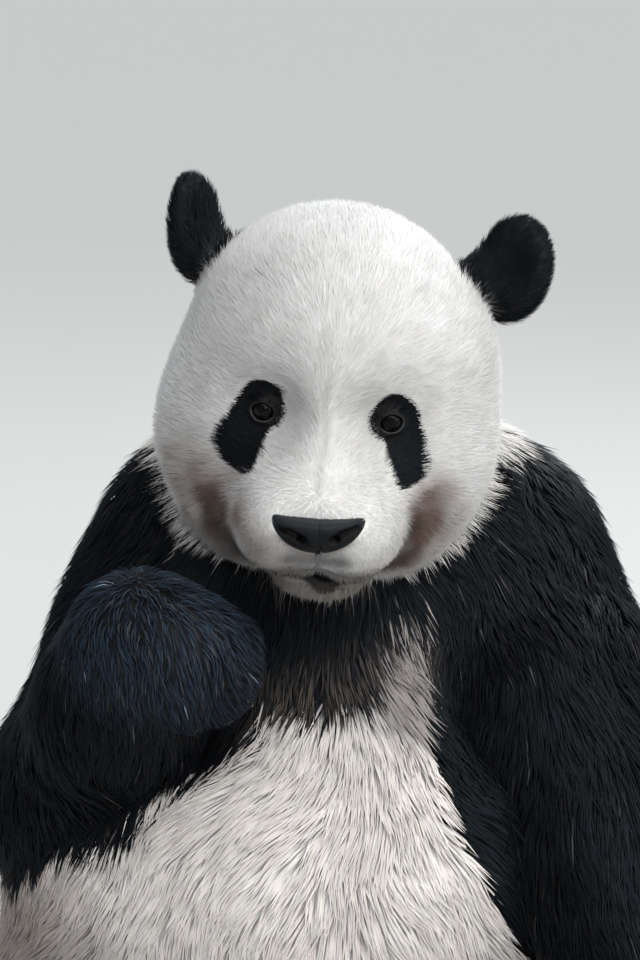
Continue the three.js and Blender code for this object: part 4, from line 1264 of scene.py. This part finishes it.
SECTION = A([[-0.5, 0.0], [0.5, 0.0], [0.0, 0.42]])      # across, and up from the skin
SPREAD = A([[-0.95, 0.30], [0.95, 0.30], [0.0, 1.0]])      # which way those three face
BODY_LIGHT = 0.62
FACES7 = A([[0, 1, 3], [1, 4, 3], [1, 2, 4], [2, 5, 4], [2, 0, 5], [0, 3, 5], [3, 4, 6], [4, 5, 6], [5, 3, 6], [0, 2, 1]])
FACES4 = A([[0, 1, 3], [1, 2, 3], [2, 0, 3], [0, 2, 1]])
UNDER7, UNDER4 = [0, 1, 6, 9], [0, 3]                   # the faces turned to the skin
PATCH7 = A([[-0.5, -0.5], [0.5, -0.5], [0.0, -0.3], [-0.4, 0.1], [0.4, 0.1], [0.0, 0.2], [0.0, 0.5]]) * 0.003
PATCH4 = A([[-0.5, -0.5], [0.5, -0.5], [0.0, -0.3], [0.0, 0.5]]) * 0.003


def tufts(name, t, uv, curved):
    """Each tuft a thin closed spike with its root under the skin."""
    P, mid, tip, n, W = t["P"], t["mid"], t["tip"], t["n"], t["W"]
    N = len(P)
    d0 = unit((mid if curved else tip) - P)
    side = unit(np.cross(n, d0))
    up = np.cross(d0, side)
    root = P - n * np.minimum(1.6, 0.10 * t["L"])[:, None] - d0 * (0.08 * t["L"])[:, None]
    rows = [root[:, None] + side[:, None] * SECTION[None, :, :1] * W[:, None, None] + up[:, None] * SECTION[None, :, 1:] * W[:, None, None]]
    if curved:
        w = W * 0.92
        rows.append(mid[:, None] + side[:, None] * SECTION[None, :, :1] * w[:, None, None] + up[:, None] * SECTION[None, :, 1:] * w[:, None, None])
    V = np.concatenate(rows + [tip[:, None]], 1)
    k = V.shape[1]
    V[..., 2] = np.maximum(V[..., 2], 0.15)
    faces = (FACES7 if curved else FACES4).astype(np.int64)
    T = (np.arange(N)[:, None, None] * k + faces[None]).reshape(-1, 3)
    # roots darker than tips: partly the hair's own tone, partly painted shade deep in the coat
    shade = A([0.93] * 3 + [0.99] * 3 + [1.02]) if curved else A([0.94] * 3 + [1.02])
    dark = A([1.0] * 3 + [1.0] * 3 + [1.25]) if curved else A([1.0] * 3 + [1.2])
    s = np.where(t["black"][:, None], dark[None], shade[None])
    C = t["c"][:, None, :] * s[..., None]
    patch = (PATCH7 if curved else PATCH4)
    UV = uv[:, None, :] + patch[None]
    # hairs lie so close that a tuft takes the light much as the body under it does
    round_ = np.concatenate([SPREAD] * (2 if curved else 1) + [A([[0.0, 0.5]])])
    own = side[:, None] * round_[None, :, :1] + up[:, None] * round_[None, :, 1:]
    k_ = np.where(t["black"], BODY_LIGHT, BODY_LIGHT + 0.20 + 0.08 * (1 - smooth((t["L"] - 6) / 8)))[:, None, None]
    own = unit(n[:, None] * k_ + own * (1 - k_))
    corner = own[:, faces]                               # one to a corner, the sides and the tip first
    below = UNDER7 if curved else UNDER4
    corner[:, below] = unit(corner[:, below] * 0.75 + d0[:, None, None] * 0.6)
    corner[:, 6 if curved else 0, 2] = unit(d0 * 0.65 - up * 0.45)      # the underside of the tip
    return to_mesh(name, V.reshape(-1, 3), T, colours=np.clip(C.reshape(-1, 3), 0, 1), uv=np.clip(UV.reshape(-1, 2), 0, 1),
                   normals=corner.reshape(-1, 3))


def unwrap(P, label):
    """Where each root lies on an unwrap of its own part of the skin."""
    Q = to_head(P)
    if label in (6, 7):
        c = A([2.0, -10, 0]) if label == 6 else (EARS[-1][0] if Q[:, 0].mean() < 0 else EARS[1][0])
        d = unit(Q - c)
        face = -1 if Q[:, 1].mean() < 0 or label == 7 else 1
        if label == 7:
            uv = np.stack([np.arctan2(d[:, 0], -d[:, 1]), np.arcsin(np.clip(d[:, 2], -1, 1))], 1)
        else:
            t = np.arccos(np.clip(d[:, 1] * face, -1, 1))
            r = np.maximum(np.hypot(d[:, 0], d[:, 2]), 1e-6)
            uv = np.stack([d[:, 0] / r * t, d[:, 2] / r * t], 1)
    elif label in (1, 2, 4, 5):
        bones = LEG_BONES[-1 if label == 1 else 1] if label in (1, 2) else PAW_BONES[-1 if label == 4 else 1]
        way, run, _, foot = along_bones(P, bones)
        q = P - foot
        ref = unit(np.cross(way, A([0.3, 0.2, 1.0])))
        b = np.cross(way, ref)
        uv = np.stack([np.arctan2((q * b).sum(1), (q * ref).sum(1)), run / 90], 1)
    else:
        uv = np.stack([np.arctan2(P[:, 0] - 8, -(P[:, 1] - 40)), P[:, 2] / 200], 1)
    lo, hi = uv.min(0), uv.max(0)
    return 0.01 + 0.98 * (uv - lo) / np.maximum(hi - lo, 1e-6)


def bare(P, Q):
    """Where no coat grows."""
    L = nose_axes(Q)
    out = nose_body(Q) < 0.4 - 3.0 * smooth((L[..., 2] - 6) / 4)
    for s in (-1, 1):
        edge, a, b = opening(Q, s)
        out |= (length(Q - EYE[s]) < 24) & (edge < 1.6) & (Q[:, 1] < EYE_Y)
    g = lip_gap(Q)
    x = Q[:, 0] - 3
    out |= (np.abs(g + 0.6) < 0.9 + 3.2 * np.exp(-((x - 8) / 11) ** 2)) & (Q[:, 1] < -96) & (np.abs(x) < 60) & (Q[:, 2] < -62) & by_mouth(Q)
    out |= pad_distance(P) < 1.0
    return out


PIECES = []


def build_coat():
    V, T = SKIN_V, SKIN_T
    mid = V[T].mean(1)
    w, d = body(mid)
    lab = label_of(mid, d)
    fn = unit(np.cross(V[T[:, 1]] - V[T[:, 0]], V[T[:, 2]] - V[T[:, 0]]))
    under = (mid[:, 2] < 22) & (fn[:, 2] < -0.75)
    names = ["trunk", "leg_right", "leg_left", "tail", "arm_right", "arm_left", "head", "ear"]
    total = 0
    for label in range(8):
        g = np.random.default_rng(500 + label)
        sel = (lab == label) & ~under
        P = scatter(V, T[sel], label, g)
        Q = to_head(P)
        ok = ~bare(P, Q)
        P, Q = P[ok], Q[ok]
        curved = label not in (6, 7)
        groups = []
        if label == 6:
            back = Q[:, 1] > 5
            groups += [("back", back)]
            x = Q[:, 0]
            z = Q[:, 2]
            groups += [("right", ~back & (x < 3)), ("left", ~back & (x >= 3))]
        elif label == 7:
            groups += [("right", Q[:, 0] < 0), ("left", Q[:, 0] >= 0)]
        elif label == 0:
            back = P[:, 1] > 40
            right = P[:, 0] < 8
            groups += [("front_right", ~back & right), ("front_left", ~back & ~right), ("back_right", back & right), ("back_left", back & ~right)]
        else:
            groups += [("", np.ones(len(P), bool))]
        t = comb(P, label, g)
        per = 10 if curved else 4
        for tag, m in groups:
            if not m.any():
                continue
            name = "coat_" + names[label] + ("_" + tag if tag else "")
            k = int(np.ceil(m.sum() * per / 195000))
            ids = np.flatnonzero(m)
            if k > 1:                                    # too many for one piece: shared out by height
                order = ids[np.argsort(P[ids, 2])]
                chunks = np.array_split(order, k)
            else:
                chunks = [ids]
            for j, c in enumerate(chunks):
                part = {key: val[c] for key, val in t.items()}
                ob = tufts(name + (f"_{j + 1}" if k > 1 else ""), part, unwrap(part["P"], label), curved)
                PIECES.append(ob)
                total += len(c) * per
                print(ob.name, len(c), len(c) * per)
    print("coat triangles", total)


build_coat()


def build_whiskers():
    """Long thin hairs about the mouth and chin."""
    g = np.random.default_rng(77)
    V, T = SKIN_V, SKIN_T
    mid = V[T].mean(1)
    Q = to_head(mid)
    x, y, z = Q[:, 0] - 3, Q[:, 1], Q[:, 2]
    lips = (np.abs(x) > 16) & (np.abs(x) < 62) & (z < -72) & (z > -124) & (y < -104) & by_mouth(Q, 84)
    chin_ = (np.abs(x) < 40) & (z < -104) & (y < -120) & by_mouth(Q, 84)
    pick = np.concatenate([g.choice(np.flatnonzero(lips), 44, replace=False), g.choice(np.flatnonzero(chin_), 16, replace=False)])
    P = mid[pick]
    n = unit(slope(coat, P))
    N = len(P)
    w = shares(body(P)[1], 12.0)
    v = flow(P, n, w) + DOWN * 0.45 + g.normal(0, 0.30, (N, 3))
    L = g.uniform(14, 34, N)
    way = unit(unit(v) + n * g.uniform(0.2, 0.6, N)[:, None])
    tip = P + way * L[:, None] + DOWN * (0.30 * L)[:, None] + g.normal(0, 1.5, (N, 3))
    middle = P + way * (0.52 * L)[:, None]
    c = np.where((g.uniform(0, 1, N) < 0.6)[:, None], A([[0.36, 0.33, 0.30]]), A([[0.05, 0.042, 0.038]]))
    t = dict(P=P, n=n, mid=middle, tip=tip, W=g.uniform(0.26, 0.38, N), c=c, black=np.zeros(N, bool), L=L)
    PIECES.append(tufts("whiskers", t, unwrap(P, 6), True))


build_whiskers()


# ---------------------------------------------------------------- materials
def material(name, rough, sheen=0.0, sheen_rough=0.5, tint=(1, 1, 1), coat=0.0, coat_rough=0.1, spec=0.5, spec_tint=(1, 1, 1),
             spots=0.0, spot_size=40.0, bump=0.0, bump_size=300.0, bump_kind="noise"):
    m = bpy.data.materials.new(name)
    m.use_nodes = True
    nt = m.node_tree
    p = nt.nodes["Principled BSDF"]
    col = nt.nodes.new("ShaderNodeVertexColor")
    col.layer_name = "coat"
    where = nt.nodes.new("ShaderNodeTexCoord")
    noise = nt.nodes.new("ShaderNodeTexNoise")
    noise.inputs["Scale"].default_value = spot_size
    noise.inputs["Detail"].default_value = 3.0
    nt.links.new(where.outputs["Object"], noise.inputs["Vector"])
    ramp = nt.nodes.new("ShaderNodeMapRange")
    ramp.inputs["To Min"].default_value = 1.0 - spots
    ramp.inputs["To Max"].default_value = 1.0 + spots
    nt.links.new(noise.outputs["Fac"], ramp.inputs["Value"])
    mul = nt.nodes.new("ShaderNodeMix")
    mul.data_type = "RGBA"
    mul.blend_type = "MULTIPLY"
    mul.inputs["Factor"].default_value = 1.0
    nt.links.new(col.outputs["Color"], mul.inputs["A"])
    nt.links.new(ramp.outputs["Result"], mul.inputs["B"])
    nt.links.new(mul.outputs["Result"], p.inputs["Base Color"])
    p.inputs["Roughness"].default_value = rough
    p.inputs["Specular IOR Level"].default_value = spec
    p.inputs["Specular Tint"].default_value = (*spec_tint, 1)
    p.inputs["Sheen Weight"].default_value = sheen
    p.inputs["Sheen Roughness"].default_value = sheen_rough
    p.inputs["Sheen Tint"].default_value = (*tint, 1)
    p.inputs["Coat Weight"].default_value = coat
    p.inputs["Coat Roughness"].default_value = coat_rough
    if bump:
        if bump_kind == "pebble":
            tex = nt.nodes.new("ShaderNodeTexVoronoi")
            tex.inputs["Scale"].default_value = bump_size
            out = tex.outputs["Distance"]
        else:
            tex = nt.nodes.new("ShaderNodeTexNoise")
            tex.inputs["Scale"].default_value = bump_size
            tex.inputs["Detail"].default_value = 5.0
            out = tex.outputs["Fac"]
        nt.links.new(where.outputs["Object"], tex.inputs["Vector"])
        b = nt.nodes.new("ShaderNodeBump")
        b.inputs["Strength"].default_value = bump
        b.inputs["Distance"].default_value = 0.0006
        nt.links.new(out, b.inputs["Height"])
        nt.links.new(b.outputs["Normal"], p.inputs["Normal"])
    return m


coat_mat = material("coat", rough=0.50, sheen=0.03, sheen_rough=0.4, tint=(0.75, 0.87, 1.0), spec=0.14, spec_tint=(0.70, 0.86, 1.0), spots=0.05, spot_size=30)
skin_mat = material("skin", rough=0.62, spec=0.25, spots=0.12, spot_size=120, bump=0.6, bump_size=420)
nose_mat = material("nose_leather", rough=0.46, spec=0.15, coat=0.0, coat_rough=0.25, spots=0.15, spot_size=200, bump=0.45, bump_size=900, bump_kind="pebble")
eye_mat = material("eye", rough=0.04, spec=0.13, coat=0.0, coat_rough=0.03, spots=0.1, spot_size=400)
claw_mat = material("claw_horn", rough=0.35, spec=0.5, coat=0.2, coat_rough=0.2, spots=0.25, spot_size=160, bump=0.2, bump_size=200)

for ob in PIECES:
    ob.data.materials.append(coat_mat)
skin_obj.data.materials.append(skin_mat)
nose_obj.data.materials.append(nose_mat)
claw_obj.data.materials.append(claw_mat)
for ob in eye_objs.values():
    ob.data.materials.append(eye_mat)

# ---------------------------------------------------------------- what stands for what
for ob in PIECES + [skin_obj, nose_obj, claw_obj] + list(eye_objs.values()):
    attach(ob, "root")
flesh = [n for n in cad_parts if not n.startswith("eye_") and n != "nose"]
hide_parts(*flesh)
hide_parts("nose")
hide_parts("eye_right")
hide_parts("eye_left")

# ---------------------------------------------------------------- floor and light
me = bpy.data.meshes.new("floor")
R = 40.0
me.from_pydata([(-R, -R, 0), (R, -R, 0), (R, R, 0), (-R, R, 0)], [], [(0, 1, 2, 3)])
floor = bpy.data.objects.new("floor", me)
bpy.context.scene.collection.objects.link(floor)
m = bpy.data.materials.new("floor")
m.use_nodes = True
m.node_tree.nodes["Principled BSDF"].inputs["Base Color"].default_value = (0.62, 0.62, 0.61, 1)
m.node_tree.nodes["Principled BSDF"].inputs["Roughness"].default_value = 0.9
me.materials.append(m)
floor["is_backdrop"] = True


def lamp(name, at, aim, size, watts, colour):
    l = bpy.data.lights.new(name, "AREA")
    l.shape = "DISK"
    l.size = size
    l.energy = watts
    l.color = colour
    ob = bpy.data.objects.new(name, l)
    bpy.context.scene.collection.objects.link(ob)
    ob.location = at
    ob.rotation_euler = (Vector(aim) - Vector(at)).to_track_quat("-Z", "Y").to_euler()
    return ob


def sky_lamp(name, toward, spread, strength, colour):
    l = bpy.data.lights.new(name, "SUN")
    l.angle = radians(spread)
    l.energy = strength
    l.color = colour
    ob = bpy.data.objects.new(name, l)
    bpy.context.scene.collection.objects.link(ob)
    ob.rotation_euler = Vector(toward).to_track_quat("Z", "Y").to_euler()
    return ob


sky_lamp("key", (0.24, -0.44, 1.15), 60, 1.9, (1.0, 0.99, 0.97))
sky_lamp("side", (1.0, -0.42, 0.42), 55, 1.1, (1.0, 0.99, 0.98))
lamp("catch", (0.25, -2.7, 1.65), (0, -0.1, 0.75), 0.12, 12, (1.0, 1.0, 1.0))
lamp("rim", (0.9, 2.2, 2.6), (0, 0, 0.7), 1.8, 40, (0.95, 0.98, 1.0))
world = bpy.data.worlds.new("world")
bpy.context.scene.world = world
world.use_nodes = True
bg = world.node_tree.nodes["Background"]
bg.inputs["Color"].default_value = (0.84, 0.91, 1.0, 1)
bg.inputs["Strength"].default_value = 0.32
bpy.context.scene.view_settings.view_transform = "Standard"

# ---------------------------------------------------------------- sizes
plain = lambda b: [[float(x) for x in p] for p in b]
{"cad": plain(CAD_BOX), "visual": plain(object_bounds())}
